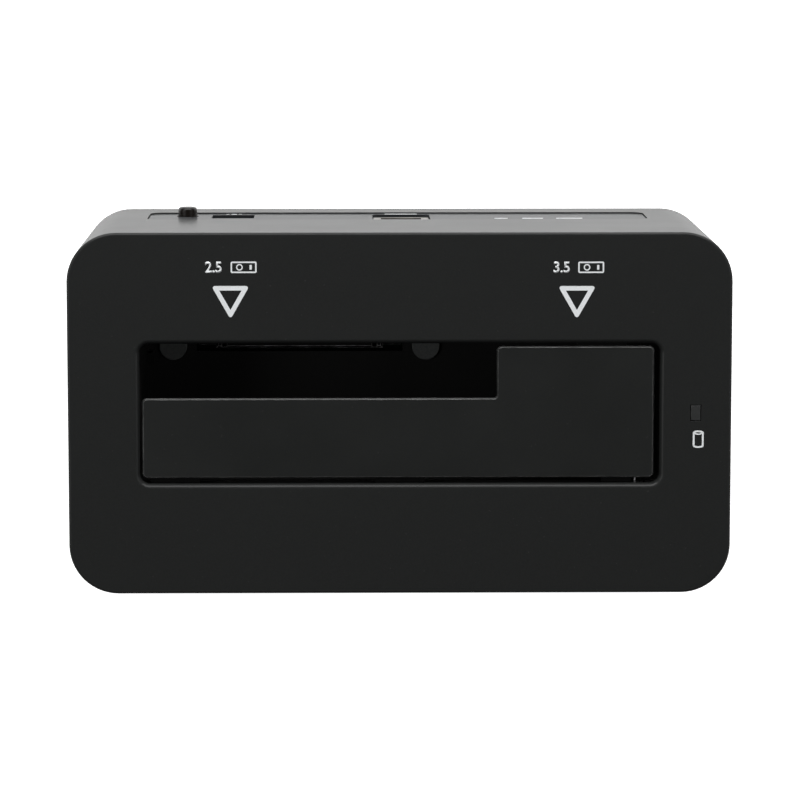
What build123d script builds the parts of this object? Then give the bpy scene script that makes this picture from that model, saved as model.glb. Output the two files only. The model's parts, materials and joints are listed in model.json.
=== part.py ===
from build123d import *
import math
import os

# A single-bay hard drive docking station, in millimetres.
# Z is up from the table, Y runs from the front to the rear, X from left to right.

# Case
case_width = 133.4
case_depth = 73.1
case_height = 62.0
corner_radius = 9.9
edge_round = 0.55
rim_chamfer = 0.4
side_wall = 2.0
top_wall = 2.0
foot_proud = 1.2

# Play between pieces
fit_gap = 0.15
moving_gap = 0.3
running_gap = 0.05

# Overrun of every cut past the face that it opens
overrun = 1.0

# Drives that the bay takes, 101.6 by 26.1 and 69.85 by 9.5, and where their plug sits
drive_side_room = 15.9
drive_face_room = 23.5
small_drive_width = 69.85
plug_inset = 30.2
small_plug_offset = 4.8
plug_depth = 3.2

# Mouth in the top face
mouth_side_play = 1.5
mouth_face_play = 1.15
mouth_corner = 2.0
mouth_round = 0.95

# Drive bay
bay_side_step = 0.2
bay_face_step = 0.3
bay_wall = 1.8
bay_floor = 2.0
bay_corner = 1.0
bay_lift = 8.2

# Bottom cover and board
cover_thick = 2.2
standoff_height = 9.8
board_thick = 1.6

# Hinged flap over the mouth
flap_left_gap = 0.5
flap_right_gap = 1.2
flap_front_gap = 1.15
flap_rear_gap = 0.6
flap_sink = 0.5
flap_thick = 1.8
flap_skin = 1.1
hinge_ahead = 0.9
rod_radius = 0.5
barrel_radius = 1.0

# Power button
button_radius = 2.0
button_proud = 1.8
button_travel = 1.5

# Levels and half sizes that follow
half_x = case_width / 2
half_y = case_depth / 2
inner_x = half_x - side_wall
inner_y = half_y - side_wall
ceiling_z = case_height - top_wall
drive_x = half_x - drive_side_room
drive_y = half_y - drive_face_room
mouth_x = drive_x + mouth_side_play
mouth_y = drive_y + mouth_face_play
bay_x = mouth_x + bay_side_step
bay_y = mouth_y + bay_face_step
cover_top = foot_proud + cover_thick
board_z = cover_top + standoff_height
board_top = board_z + board_thick
floor_z = board_top + bay_lift
plug_x = -drive_x + plug_inset
plug_y = bay_y - plug_depth

# Flap outline and hinge axis
flap_left = -mouth_x + flap_left_gap
flap_right = mouth_x - flap_right_gap
flap_front = -mouth_y + flap_front_gap
flap_rear = mouth_y - flap_rear_gap
flap_top = case_height - flap_sink
flap_under = flap_top - flap_thick
small_mouth_play = 0.35
small_mouth_share = 0.39
notch_x = plug_x + small_plug_offset + small_drive_width / 2 + small_mouth_play
notch_y = mouth_y - small_mouth_share * 2 * mouth_y
axis_y = -mouth_y - hinge_ahead
axis_z = ceiling_z - moving_gap - barrel_radius


def block(x0, x1, y0, y1, z0, z1):
    """A box between two corners."""
    return Pos((x0 + x1) / 2, (y0 + y1) / 2, (z0 + z1) / 2) * Box(x1 - x0, y1 - y0, z1 - z0)


def upright(outline, x, y, z0, z1):
    """A flat outline raised from z0 to z1."""
    return Pos(x, y, z0) * extrude(outline, z1 - z0)


def sideways(outline, y, z, x0, x1):
    """An outline drawn in Y and Z, drawn out from x0 to x1."""
    return extrude(Plane(origin=(x0, y, z), x_dir=(0, 1, 0), z_dir=(1, 0, 0)) * outline, x1 - x0)


def rearward(outline, x, z, y0, y1):
    """An outline as seen from behind, drawn out from y0 to y1."""
    return extrude(Plane(origin=(x, y0, z), x_dir=(-1, 0, 0), z_dir=(0, 1, 0)) * outline, y1 - y0)


def peg(radius, sides=12):
    """The outline of a repeated inner post, boss or pilot hole, in few sides."""
    return RegularPolygon(radius, sides)


def four(x, y):
    """The four places at plus and minus x and y."""
    return [(sx * x, sy * y) for sy in (-1, 1) for sx in (-1, 1)]


# Corner posts and their screws
post_radius = 3.6
post_inset_x = 9.5
post_inset_y = 9.7
post_web = 1.4
post_pilot = 1.0
pilot_sides = 8
pilot_depth = 10.0
cup_height = 5.6
cup_floor = 2.5
cup_bore = 2.9
screw_play = 0.3
screw_head = 2.4
screw_head_high = 1.5
screw_length = 10.0
post_x = half_x - post_inset_x
post_y = half_y - post_inset_y
cup_top = cover_top + cup_height

# Short bosses under the ceiling that carry the bay
hanger_radius = 2.6
hanger_drop = 4.0
hanger_pilot = 0.85
hanger_gap = 0.6
hanger_x_share = 0.76
hanger_x = bay_x * hanger_x_share
trough_depth = 4.7
trough_room = 0.3
trough_floor = 1.8
trough_y = axis_y - barrel_radius - trough_room
trough_z = ceiling_z - trough_depth
hanger_front = trough_y - bay_wall - hanger_gap - hanger_radius
hanger_rear = bay_y + bay_wall + hanger_gap + hanger_radius
hanger_places = [(sx * hanger_x, y) for y in (hanger_front, hanger_rear) for sx in (-1, 1)]

# Rear panel
panel_end_room = 14.65
panel_height = 17.6
panel_drop = 3.0
panel_corner = 3.0
panel_sink = 0.25
flange = 2.0
flange_thick = 1.2
panel_width = case_width - 2 * panel_end_room
panel_left = -panel_width / 2
panel_z0 = board_top - panel_drop
panel_z = panel_z0 + panel_height / 2
panel_face = half_y - panel_sink
flange_y = inner_y - flange_thick

# Status light
led_width = 1.9
led_depth = 3.0
led_x = (bay_x + bay_wall + inner_x) / 2
led_y = 0.1

# Stop tab at the flap's rear edge
tab_width_share = 0.314
tab_place_share = 0.67
tab_reach = 1.5
tab_thick = 0.9
tab_width = tab_width_share * (flap_right - notch_x)
tab_x = notch_x + tab_place_share * (flap_right - notch_x)
tab_end = flap_rear + tab_reach

# Ribs inside the walls that the bottom cover stops against
stop_width = 1.2
stop_proud = 0.8
stop_height = 6.0
stop_long_shares = (-0.6, -0.2, 0.2, 0.6)
stop_short_shares = (-0.35, 0.35)


def upper_shell():
    """The moulded upper half: four walls and the top face with the drive mouth."""
    shell = upright(RectangleRounded(case_width, case_depth, corner_radius), 0, 0, foot_proud, case_height)
    shell = fillet(shell.edges().group_by(Axis.Z)[-1], edge_round)
    shell = chamfer(shell.edges().group_by(Axis.Z)[0], rim_chamfer)
    mouth = RectangleRounded(2 * mouth_x, 2 * mouth_y, mouth_corner)
    shell -= upright(mouth, 0, 0, ceiling_z - overrun, case_height + overrun)
    level = shell.edges().group_by(Axis.Z)[-1]
    rim = [e for e in level if abs(e.center().X) <= mouth_x and abs(e.center().Y) <= mouth_y]
    shell = fillet(rim, mouth_round)
    hollow = RectangleRounded(2 * inner_x, 2 * inner_y, corner_radius - side_wall)
    shell -= upright(hollow, 0, 0, foot_proud - overrun, ceiling_z)
    for x, y in four(post_x, post_y):
        shell += shell_post(x, y)
    for x, y in hanger_places:
        shell += upright(peg(hanger_radius), x, y, ceiling_z - hanger_drop, ceiling_z + top_wall / 2)
        pilot_top = ceiling_z + top_wall / 2
        shell -= upright(peg(hanger_pilot, pilot_sides), x, y, ceiling_z - hanger_drop - overrun, pilot_top)
    for rib in stop_ribs():
        shell += rib
    opening = RectangleRounded(
        panel_width + 2 * fit_gap, panel_height + 2 * fit_gap, panel_corner + fit_gap
    )
    shell -= rearward(opening, 0, panel_z, inner_y - overrun, half_y + overrun)
    lens = Rectangle(led_width + 2 * fit_gap, led_depth + 2 * fit_gap)
    shell -= upright(lens, led_x, led_y, ceiling_z - overrun, case_height + overrun)
    shell -= block(
        tab_x - tab_width / 2 - moving_gap, tab_x + tab_width / 2 + moving_gap,
        mouth_y - overrun, tab_end + moving_gap,
        ceiling_z - overrun, flap_under + tab_thick + moving_gap,
    )
    return shell


def shell_post(x, y):
    """A corner post with a pilot hole and two webs to the walls beside it."""
    side = math.copysign(1, x)
    end = math.copysign(1, y)
    post = upright(peg(post_radius), x, y, cup_top, ceiling_z + top_wall / 2)
    across = sorted((x, side * (inner_x + side_wall / 2)))
    along = sorted((y, end * (inner_y + side_wall / 2)))
    web_z = cup_top + post_radius
    post += block(*across, y - post_web / 2, y + post_web / 2, web_z, ceiling_z + top_wall / 2)
    post += block(x - post_web / 2, x + post_web / 2, *along, web_z, ceiling_z + top_wall / 2)
    return post - upright(peg(post_pilot, pilot_sides), x, y, cup_top - overrun, cup_top + pilot_depth)


def stop_ribs():
    """Short upright ribs on the inside of the walls, ending on the bottom cover."""
    ribs = []
    for share in stop_long_shares:
        x = share * inner_x
        for end in (-1, 1):
            across = sorted((end * (inner_y - stop_proud), end * (inner_y + side_wall / 2)))
            width = (x - stop_width / 2, x + stop_width / 2)
            ribs.append(block(*width, *across, cover_top, cover_top + stop_height))
    for share in stop_short_shares:
        y = share * inner_y
        for side in (-1, 1):
            across = sorted((side * (inner_x - stop_proud), side * (inner_x + side_wall / 2)))
            width = (y - stop_width / 2, y + stop_width / 2)
            ribs.append(block(*across, *width, cover_top, cover_top + stop_height))
    return ribs


# Bottom cover details
lip_wall = 1.2
lip_height = 2.6
standoff_radius = 2.5
standoff_pilot = 0.95
rear_screw_shares = ((-0.34, 0.78), (0.47, 0.78))
front_screw_shares = ((-0.72, 0.165), (0.72, 0.165))
foot_radius = 4.3
foot_taper = 0.3
foot_inset_x = 24.7
foot_inset_y = 9.55
foot_x = half_x - foot_inset_x
foot_y = half_y - foot_inset_y
vent_width = 2.0
vent_length = 20.0
vent_pitch = 6.0
vent_count = 7
vent_ahead = 14.0
beam_length = 35.0
beam_thick = 2.0

# Board outline, and its places in front of the drive plug and behind it
board_front_gap = 0.6
board_rear_gap = 0.6
arm_width = 12.0
arm_end_gap = 1.9
board_x = bay_x
board_front = -bay_y + board_front_gap
board_rear = flange_y - board_rear_gap
arm_x = inner_x - arm_end_gap
plug_thick = 4.2
plug_front = plug_y - plug_thick / 2
plug_rear = plug_y + plug_thick / 2


def before_plug(share):
    """A place on the board in front of the drive plug, from its shares."""
    return share[0] * board_x, board_front + share[1] * (plug_front - board_front)


def behind_plug(share):
    """A place on the board behind the drive plug, from its shares."""
    return share[0] * board_x, plug_rear + share[1] * (board_rear - plug_rear)


screw_places = [behind_plug(share) for share in rear_screw_shares]
screw_places += [before_plug(share) for share in front_screw_shares]


def bottom_cover():
    """The plate that closes the case from below, with screw cups and standoffs."""
    gap = fit_gap
    plate = RectangleRounded(2 * (inner_x - gap), 2 * (inner_y - gap), corner_radius - side_wall - gap)
    cover = upright(plate, 0, 0, foot_proud, cover_top)
    lip_set = stop_proud + fit_gap
    lip_corner = corner_radius - side_wall - lip_set
    outer = RectangleRounded(2 * (inner_x - lip_set), 2 * (inner_y - lip_set), lip_corner)
    inner_set = lip_set + lip_wall
    inner = RectangleRounded(2 * (inner_x - inner_set), 2 * (inner_y - inner_set), lip_corner - lip_wall)
    cover += upright(outer - inner, 0, 0, cover_top - cover_thick / 2, cover_top + lip_height)
    for x, y in four(post_x, post_y):
        cover += upright(peg(post_radius), x, y, foot_proud, cup_top)
        cover -= upright(Circle(cup_bore), x, y, foot_proud - overrun, cup_top - cup_floor)
        cover -= upright(peg(post_pilot + screw_play), x, y, foot_proud, cup_top + overrun)
    for x, y in screw_places:
        cover += upright(peg(standoff_radius), x, y, cover_top - cover_thick / 2, board_z)
        cover -= upright(peg(standoff_pilot, pilot_sides), x, y, cover_top, board_z + overrun)
    beam_y = (plug_y - beam_thick / 2, plug_y + beam_thick / 2)
    beam_x = (plug_x - beam_length / 2, plug_x + beam_length / 2)
    cover += block(*beam_x, *beam_y, cover_top - cover_thick / 2, board_z)
    for i in range(vent_count):
        x = (i - (vent_count - 1) / 2) * vent_pitch
        vent = Rectangle(vent_width, vent_length)
        cover -= upright(vent, x, -vent_ahead, foot_proud - overrun, cover_top + overrun)
    return cover


def rubber_foot(x, y):
    """A slightly tapered round foot stuck under the cover."""
    return Pos(x, y, foot_proud / 2) * Cone(foot_radius - foot_taper, foot_radius, foot_proud)


def screw(x, y, seat, head_radius, head_high, shank_radius, length, up=1):
    """A screw whose head bears on the level seat and whose shank points up or down."""
    head_z = sorted((seat - up * head_high, seat))
    shank_z = sorted((seat, seat + up * length))
    head = upright(peg(head_radius), x, y, *head_z)
    return head + upright(peg(shank_radius, pilot_sides), x, y, *shank_z)


# Openings of the rear panel and the ports behind it
button_inset = 7.9
button_rise = 3.1
jack_inset = 17.55
jack_rise = 4.6
jack_window_width = 8.8
jack_window_height = 8.4
usb_x = 0.8
usb_width = 11.7
usb_height = 12.6
usb_corner = 1.0
button_x = panel_left + button_inset
button_z = board_top + button_rise
jack_x = panel_left + jack_inset
jack_z = board_top + jack_rise
usb_z = board_top + usb_height / 2


def rear_panel():
    """The port panel that fills the opening in the rear wall and stops on its flange."""
    plate = RectangleRounded(panel_width, panel_height, panel_corner)
    panel = rearward(plate, 0, panel_z, flange_y, panel_face)
    rim = RectangleRounded(panel_width + 2 * flange, panel_height + 2 * flange, panel_corner + flange)
    panel += rearward(rim, 0, panel_z, flange_y, inner_y)
    through = (flange_y - overrun, panel_face + overrun)
    panel -= rearward(Circle(button_radius + moving_gap), button_x, button_z, *through)
    window = Rectangle(jack_window_width, jack_window_height)
    panel -= rearward(window, jack_x, jack_z, *through)
    port = RectangleRounded(usb_width + 2 * fit_gap, usb_height + 2 * fit_gap, usb_corner)
    panel -= rearward(port, usb_x, usb_z, *through)
    return panel


# Bay details
ear_thick = 2.0
ear_round = 3.4
ear_hole = 1.1
rib_thick = 1.5
rib_drop = 2.0
guide_proud = 1.35
guide_height = 6.4
guide_width = 2.4
guide_share = 0.5
plug_slot_play = 0.4
plug_slot_ahead = 1.0
pad_radius_share = 0.331
pad_proud = 0.8
pad_seat = 0.6
pad_share = 0.551
pad_set = 5.15
bearing_width = 2.0
bearing_share = 0.42
bearing_cover = 0.6
bearing_lip = 0.25
rod_reach = 1.4
lug_z = 38.0
lug_thick = 3.0
lug_wall = 1.6
tab_room = 10.0
tab_room_depth = 1.1

# Drive connector
power_slot = 20.6
signal_slot = 10.6
plug_divider = 1.4
plug_end_wall = 1.2
plug_high = 11.2
plug_foot_step = 3.8
plug_foot_high = 4.6
plug_slot_wide = 1.9
plug_slot_deep = 6.5
key_long = 1.1
key_deep = 0.9
contact_width = 0.7
contact_thick = 0.25
contact_short = 0.8
contact_end_gap = 1.06
power_contacts = 15
signal_contacts = 7
plug_length = power_slot + signal_slot + plug_divider + 2 * plug_end_wall
plug_foot_length = plug_length + 2 * plug_foot_step
plug_slot_length = plug_foot_length + 2 * plug_slot_play
contact_pitch = (power_slot - contact_width - 2 * contact_end_gap) / (power_contacts - 1)
divider_x = plug_x + (power_slot - signal_slot) / 2
power_x = divider_x - (plug_divider + power_slot) / 2
signal_x = divider_x + (plug_divider + signal_slot) / 2

# The pads stand between the plug's slot and the ribs on the left-hand wall, and mirrored on the right
pad_room = bay_x - guide_proud + plug_x - plug_slot_length / 2
pad_radius = pad_radius_share * pad_room
pad_spread = plug_slot_length / 2 + pad_share * pad_room
pad_places = [(plug_x + side * pad_spread, bay_y - pad_set) for side in (-1, 1)]


def drive_bay():
    """The tub that guides the drive, with the hinge trough along its front edge."""
    wall = bay_wall
    tub = RectangleRounded(2 * (bay_x + wall), 2 * (bay_y + wall), bay_corner + wall)
    bay = upright(tub, 0, 0, floor_z - bay_floor, ceiling_z)
    bay += block(-bay_x - wall, bay_x + wall, trough_y - wall, 0, trough_z - trough_floor, ceiling_z)
    bay -= upright(RectangleRounded(2 * bay_x, 2 * bay_y, bay_corner), 0, 0, floor_z, ceiling_z + overrun)
    bay -= block(-bay_x, bay_x, trough_y, -bay_y + bay_corner, trough_z, ceiling_z + overrun)
    for x in (-bearing_share * bay_x, bearing_share * bay_x):
        bay += hinge_bearing(x)
    bore = Circle(rod_radius + running_gap)
    bay -= sideways(bore, axis_y, axis_z, -bay_x - rod_reach - running_gap, bay_x + rod_reach + running_gap)
    bay -= block(
        tab_x - tab_width / 2 - moving_gap, tab_x + tab_width / 2 + moving_gap,
        0, bay_y + tab_room_depth, ceiling_z - tab_room, ceiling_z + overrun,
    )
    bay -= block(
        plug_x - plug_slot_length / 2, plug_x + plug_slot_length / 2,
        plug_front - plug_slot_ahead, plug_rear + plug_slot_play,
        floor_z - bay_floor - overrun, floor_z + overrun,
    )
    for x, y in pad_places:
        bay -= upright(Circle(pad_radius + fit_gap), x, y, floor_z - pad_seat, floor_z + overrun)
    for side in (-1, 1):
        for share in (-guide_share, guide_share):
            bay += guide_rib(side, share * bay_y)
        bay += floor_rib(side)
    for x, y in hanger_places:
        bay += bay_ear(x, y)
        bay -= upright(peg(ear_hole), x, y, 0, ceiling_z - hanger_drop + overrun)
    return bay + pipe_lug()


def hinge_bearing(x):
    """A small open saddle on the trough's wall that the hinge rod snaps into."""
    return block(
        x - bearing_width / 2, x + bearing_width / 2, trough_y - bay_wall / 2,
        axis_y + bearing_lip, axis_z - rod_radius - bearing_cover,
        axis_z + rod_radius + bearing_cover,
    )


def guide_rib(side, y):
    """A low rib on a side wall that centres the drive's foot, with a sloping top."""
    foot = bay_x + bay_wall / 2
    tip = bay_x - guide_proud
    points = [
        (side * foot, floor_z - bay_floor / 2),
        (side * tip, floor_z - bay_floor / 2),
        (side * tip, floor_z + guide_height - 2 * guide_proud),
        (side * bay_x, floor_z + guide_height),
        (side * foot, floor_z + guide_height),
    ]
    outline = Polygon(*points, align=None)
    plane = Plane(origin=(0, y + guide_width / 2, 0), x_dir=(1, 0, 0), z_dir=(0, -1, 0))
    return extrude(plane * outline, guide_width)


def floor_rib(side):
    """A stiffening rib under the floor, clear of the plug."""
    x = plug_x + side * (plug_slot_length / 2 + rib_thick)
    depth = bay_y + bay_wall / 2
    bottom = floor_z - bay_floor - rib_drop
    return block(x - rib_thick / 2, x + rib_thick / 2, -depth, depth, bottom, floor_z - bay_floor / 2)


def bay_ear(x, y):
    """A round-ended ear with a gusset, screwed under its boss in the ceiling."""
    top = ceiling_z - hanger_drop
    end = math.copysign(1, y)
    wall_y = bay_y + bay_wall / 2 if y > 0 else trough_y - bay_wall / 2
    ear = upright(peg(ear_round), x, y, top - ear_thick, top)
    ear += block(x - ear_round, x + ear_round, *sorted((wall_y, y)), top - ear_thick, top)
    rise = abs(y) - abs(wall_y)
    gusset = Polygon((0, 0), (end * rise / 2, 0), (0, -rise), align=None)
    web = sideways(gusset, wall_y, top - ear_thick / 2, x - ear_round, x - ear_round + rib_thick)
    return ear + web


def pipe_lug():
    """The bracket on the right-hand wall that steadies the light pipe."""
    half_w = led_width / 2 + fit_gap + lug_wall
    half_d = led_depth / 2 + fit_gap + lug_wall
    end = min(led_x + half_w, inner_x - fit_gap)
    lug = block(bay_x + bay_wall / 2, end, led_y - half_d, led_y + half_d, lug_z, lug_z + lug_thick)
    hole = Rectangle(led_width + 2 * fit_gap, led_depth + 2 * fit_gap)
    return lug - upright(hole, led_x, led_y, lug_z - overrun, lug_z + lug_thick + overrun)


def shock_pad(x, y):
    """A soft round pad let into the bay floor."""
    return upright(Circle(pad_radius), x, y, floor_z - pad_seat, floor_z + pad_proud)


# Flap details
flap_corner = 1.0
notch_corner = 0.6
flap_edge_cut = 0.25
knuckle_length = 10.0
short_knuckle = 6.0
knuckle_inset = 1.5
knuckle_gap = 0.6
neck_reach = 1.0
neck_drop = 0.8
hinge_margin_share = 0.27
flap_rim = 1.2
groove_depth = 0.3
groove_play = 0.22

# Torsion spring on the hinge rod
wire_radius = 0.18
coil_radius = 0.9
coil_pitch = 0.88
coil_turns = 3
wire_sides = 8
coil_inset = 3.65
leg_back = 5.0
leg_down = 2.8
coil_x = flap_right - coil_inset
knuckles = [
    (flap_left + knuckle_inset, flap_left + knuckle_inset + knuckle_length),
    (-knuckle_length / 2, knuckle_length / 2),
    (coil_x - wire_radius - knuckle_gap - short_knuckle, coil_x - wire_radius - knuckle_gap),
]


def slot_flap():
    """The L-shaped door that a large drive pushes down, cut out for a small drive."""
    depth = flap_rear - flap_front
    middle = Pos((flap_left + flap_right) / 2, (flap_rear + flap_front) / 2)
    outline = middle * Rectangle(flap_right - flap_left, depth)
    notch_w = notch_x - flap_left
    notch_d = flap_rear - notch_y
    outline -= Pos(notch_x - notch_w / 2, notch_y + notch_d / 2) * Rectangle(notch_w, notch_d)
    corners = outline.vertices()
    inner = [v for v in corners if abs(v.X - notch_x) < flap_corner and abs(v.Y - notch_y) < flap_corner]
    outer = [v for v in corners if v not in inner]
    outline = fillet(outer, flap_corner)
    inner = [v for v in outline.vertices() if abs(v.X - notch_x) + abs(v.Y - notch_y) < flap_corner]
    outline = fillet(inner, notch_corner)
    flap = upright(outline, 0, 0, flap_under, flap_top)
    flap = chamfer(flap.edges().group_by(Axis.Z)[-1], flap_edge_cut)
    for pocket in flap_pockets():
        flap -= pocket
    for x0, x1 in knuckles:
        flap += sideways(Circle(barrel_radius), axis_y, axis_z, x0, x1)
        flap += block(x0, x1, axis_y, flap_front + neck_reach, axis_z - neck_drop, flap_under)
    flap -= sideways(Circle(rod_radius + running_gap), axis_y, axis_z, flap_left, flap_right)
    flap += block(
        tab_x - tab_width / 2, tab_x + tab_width / 2,
        flap_rear - flap_rim, tab_end, flap_under, flap_under + tab_thick,
    )
    half_groove = wire_radius + groove_play
    flap -= block(
        coil_x - half_groove, coil_x + half_groove, flap_front - overrun, axis_y + leg_back + groove_play,
        flap_under - overrun, flap_under + groove_depth,
    )
    return flap


def flap_pockets():
    """Shallow pockets under the flap that leave a rim and ribs."""
    top = flap_top - flap_skin
    front = flap_front + hinge_margin_share * (notch_y - flap_front)
    pockets = []
    left_count = 4
    left_x0 = flap_left + flap_rim
    left_step = (notch_x - left_x0) / left_count
    for i in range(left_count):
        x0 = left_x0 + i * left_step
        x1 = x0 + left_step - flap_rim
        pockets.append(block(x0, x1, front, notch_y - flap_rim, flap_under - overrun, top))
    right_count = 2
    right_step = (flap_right - notch_x - flap_rim) / right_count
    for i in range(right_count):
        x0 = notch_x + flap_rim + i * right_step
        x1 = x0 + right_step - flap_rim
        pockets.append(block(x0, x1, front, flap_rear - flap_rim, flap_under - overrun, top))
    return pockets


def hinge_rod():
    """The steel rod that the flap swings on, held in the bay's side walls."""
    reach = bay_x + rod_reach
    return sideways(Circle(rod_radius), axis_y, axis_z, -reach, reach)


def biarc(start, start_way, end, end_way):
    """Two arcs that leave start and reach end along the given directions."""
    span = end - start
    ways = start_way + end_way
    bend = 2 * (1 - start_way.dot(end_way))
    reach = (-span.dot(ways) + math.sqrt(span.dot(ways) ** 2 + bend * span.dot(span))) / bend
    first = start + start_way * reach
    last = end - end_way * reach
    middle = (first + last) / 2
    middle_way = (last - first).normalized()
    return [
        Edge.make_tangent_arc(start, start_way, middle),
        Edge.make_tangent_arc(middle, middle_way, end),
    ]


def coil_point(quarter):
    """The place and direction on the spring's helix after some quarter turns."""
    angle = math.pi / 2 * (quarter + 1)
    y = axis_y + coil_radius * math.cos(angle)
    z = axis_z + coil_radius * math.sin(angle)
    place = Vector(coil_x + coil_pitch * quarter / 4, y, z)
    rise = coil_pitch / (2 * math.pi)
    way = Vector(rise, -coil_radius * math.sin(angle), coil_radius * math.cos(angle))
    return place, way.normalized()


def coil_path():
    """The wire's centre line: a leg under the flap, the turns, a leg down the trough."""
    quarters = 4 * coil_turns + 1
    places = [coil_point(q) for q in range(quarters + 1)]
    places[0] = (places[0][0], Vector(0, -1, 0))
    places[-1] = (places[-1][0], Vector(0, 0, -1))
    first = places[0][0]
    last = places[-1][0]
    edges = [Edge.make_line(first + Vector(0, leg_back, 0), first)]
    for (start, start_way), (end, end_way) in zip(places, places[1:]):
        edges += biarc(start, start_way, end, end_way)
    edges.append(Edge.make_line(last, last - Vector(0, 0, leg_down)))
    return Wire(edges)


def flap_spring():
    """The torsion spring that swings the flap shut."""
    path = coil_path()
    profile = Plane(origin=path @ 0, z_dir=path % 0) * RegularPolygon(wire_radius, wire_sides)
    return sweep(profile, path=path)


def least_gap(path, radius, step_share):
    """The least clear distance from the wire to another turn of itself, from points."""
    count = round(path.length / (step_share * radius))
    points = [path @ (i / count) for i in range(count + 1)]
    apart = round(math.pi * coil_radius * count / path.length)
    gaps = [(points[i] - points[j]).length for i in range(count + 1) for j in range(i + apart, count + 1)]
    return min(gaps) - 2 * radius


# Light pipe and light
pipe_shoulder = 0.7
pipe_shoulder_thick = 1.2
pipe_sink = 0.1
led_body_width = 1.6
led_body_depth = 3.0
led_body_high = 0.9
pipe_gap = 0.3


def light_pipe():
    """The clear rod that carries the light from the board up to the top face."""
    rod = Rectangle(led_width, led_depth)
    pipe = upright(rod, led_x, led_y, board_top + led_body_high + pipe_gap, case_height - pipe_sink)
    wide = Rectangle(led_width + 2 * pipe_shoulder, led_depth + 2 * pipe_shoulder)
    return pipe + upright(wide, led_x, led_y, ceiling_z - pipe_shoulder_thick, ceiling_z)


def status_led():
    """The small surface-mounted light under the pipe."""
    body = Rectangle(led_body_width, led_body_depth)
    return upright(body, led_x, led_y, board_top, board_top + led_body_high)


def sata_housing():
    """The drive connector: two keyed slots side by side, standing through the bay floor."""
    body = Rectangle(plug_length, plug_thick)
    housing = upright(body, plug_x, plug_y, board_top, board_top + plug_high)
    housing = chamfer(housing.edges().group_by(Axis.Z)[-1], plug_slot_wide / 4)
    foot = Rectangle(plug_foot_length, plug_thick)
    housing += upright(foot, plug_x, plug_y, board_top, board_top + plug_foot_high)
    bottom = board_top + plug_high - plug_slot_deep
    top = board_top + plug_high + overrun
    for x, length, key in ((power_x, power_slot, -1), (signal_x, signal_slot, 1)):
        housing -= upright(Rectangle(length, plug_slot_wide), x, plug_y, bottom, top)
        key_x = x + key * (length - key_long) / 2
        key_y = plug_y - (plug_slot_wide + key_deep) / 2
        housing -= upright(Rectangle(key_long, key_deep), key_x, key_y, bottom, top)
    return housing


def sata_contacts():
    """The two rows of contact strips, lying on the rear side of each slot."""
    strips = []
    bottom = board_top + plug_high - plug_slot_deep
    top = board_top + plug_high - contact_short
    y1 = plug_y + plug_slot_wide / 2
    for x, count in ((power_x, power_contacts), (signal_x, signal_contacts)):
        for i in range(count):
            cx = x + (i - (count - 1) / 2) * contact_pitch
            x0 = cx - contact_width / 2
            strips.append(block(x0, x0 + contact_width, y1 - contact_thick, y1, bottom, top))
    return Compound(strips)


# Ports on the rear edge of the board
usb_long = 16.0
usb_sink = 0.5
usb_mouth_width = 8.45
usb_mouth_height = 7.8
usb_mouth_cut = 1.6
usb_mouth_drop = 0.9
usb_step_width = 5.6
usb_step_height = 2.0
usb_mouth_depth = 9.0
tongue_width = 5.6
tongue_height = 3.2
tongue_sink = 0.8
usb_contact_width = 0.9
usb_contact_thick = 0.15
usb_contact_long = 6.0
usb_face = panel_face - usb_sink
usb_mouth_z = usb_z - usb_mouth_drop


def usb_shell():
    """The metal port: a square mouth whose upper corners are cut, with a step above it."""
    outline = RectangleRounded(usb_width, usb_height, usb_corner - fit_gap)
    body = rearward(outline, usb_x, usb_z, usb_face - usb_long, usb_face)
    mouth = Rectangle(usb_mouth_width, usb_mouth_height)
    mouth = chamfer(mouth.vertices().group_by(Axis.Y)[-1], usb_mouth_cut)
    step_y = (usb_mouth_height + usb_step_height) / 2
    mouth += Pos(0, step_y - overrun / 2) * Rectangle(usb_step_width, usb_step_height + overrun)
    depth = (usb_face - usb_mouth_depth, usb_face + overrun)
    return body - rearward(mouth, usb_x, usb_mouth_z, *depth)


def usb_tongue():
    """The plastic tongue that stands in the port's mouth."""
    tongue = Rectangle(tongue_width, tongue_height)
    return rearward(tongue, usb_x, usb_mouth_z, usb_face - usb_mouth_depth, usb_face - tongue_sink)


def usb_contacts():
    """Two contact strips above the tongue and two below it."""
    strips = []
    y1 = usb_face - 2 * tongue_sink
    for side in (-1, 1):
        for level in (-1, 1):
            z0, z1 = sorted((level * tongue_height / 2, level * (tongue_height / 2 + usb_contact_thick)))
            x0 = usb_x + side * tongue_width / 4 - usb_contact_width / 2
            strips.append(
                block(x0, x0 + usb_contact_width, y1 - usb_contact_long, y1, usb_mouth_z + z0, usb_mouth_z + z1)
            )
    return Compound(strips)


jack_width = 9.8
jack_height = 9.8
jack_long = 13.6
jack_bore = 3.15
jack_bore_depth = 9.5
jack_pin = 1.0
jack_pin_sink = 1.0
leaf_width = 2.4
leaf_thick = 0.3
leaf_long = 6.0
jack_gap = 0.1
jack_face = flange_y - jack_gap


def dc_jack_body():
    """The round power inlet in its square block."""
    block_outline = Rectangle(jack_width, jack_height)
    body = rearward(block_outline, jack_x, board_top + jack_height / 2, jack_face - jack_long, jack_face)
    depth = (jack_face - jack_bore_depth, jack_face + overrun)
    return body - rearward(Circle(jack_bore), jack_x, jack_z, *depth)


def dc_jack_pin():
    """The centre pin of the power inlet, with a rounded tip."""
    pin = rearward(Circle(jack_pin), jack_x, jack_z, jack_face - jack_bore_depth, jack_face - jack_pin_sink)
    return chamfer(pin.edges().group_by(Axis.Y)[-1], jack_pin / 4)


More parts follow.
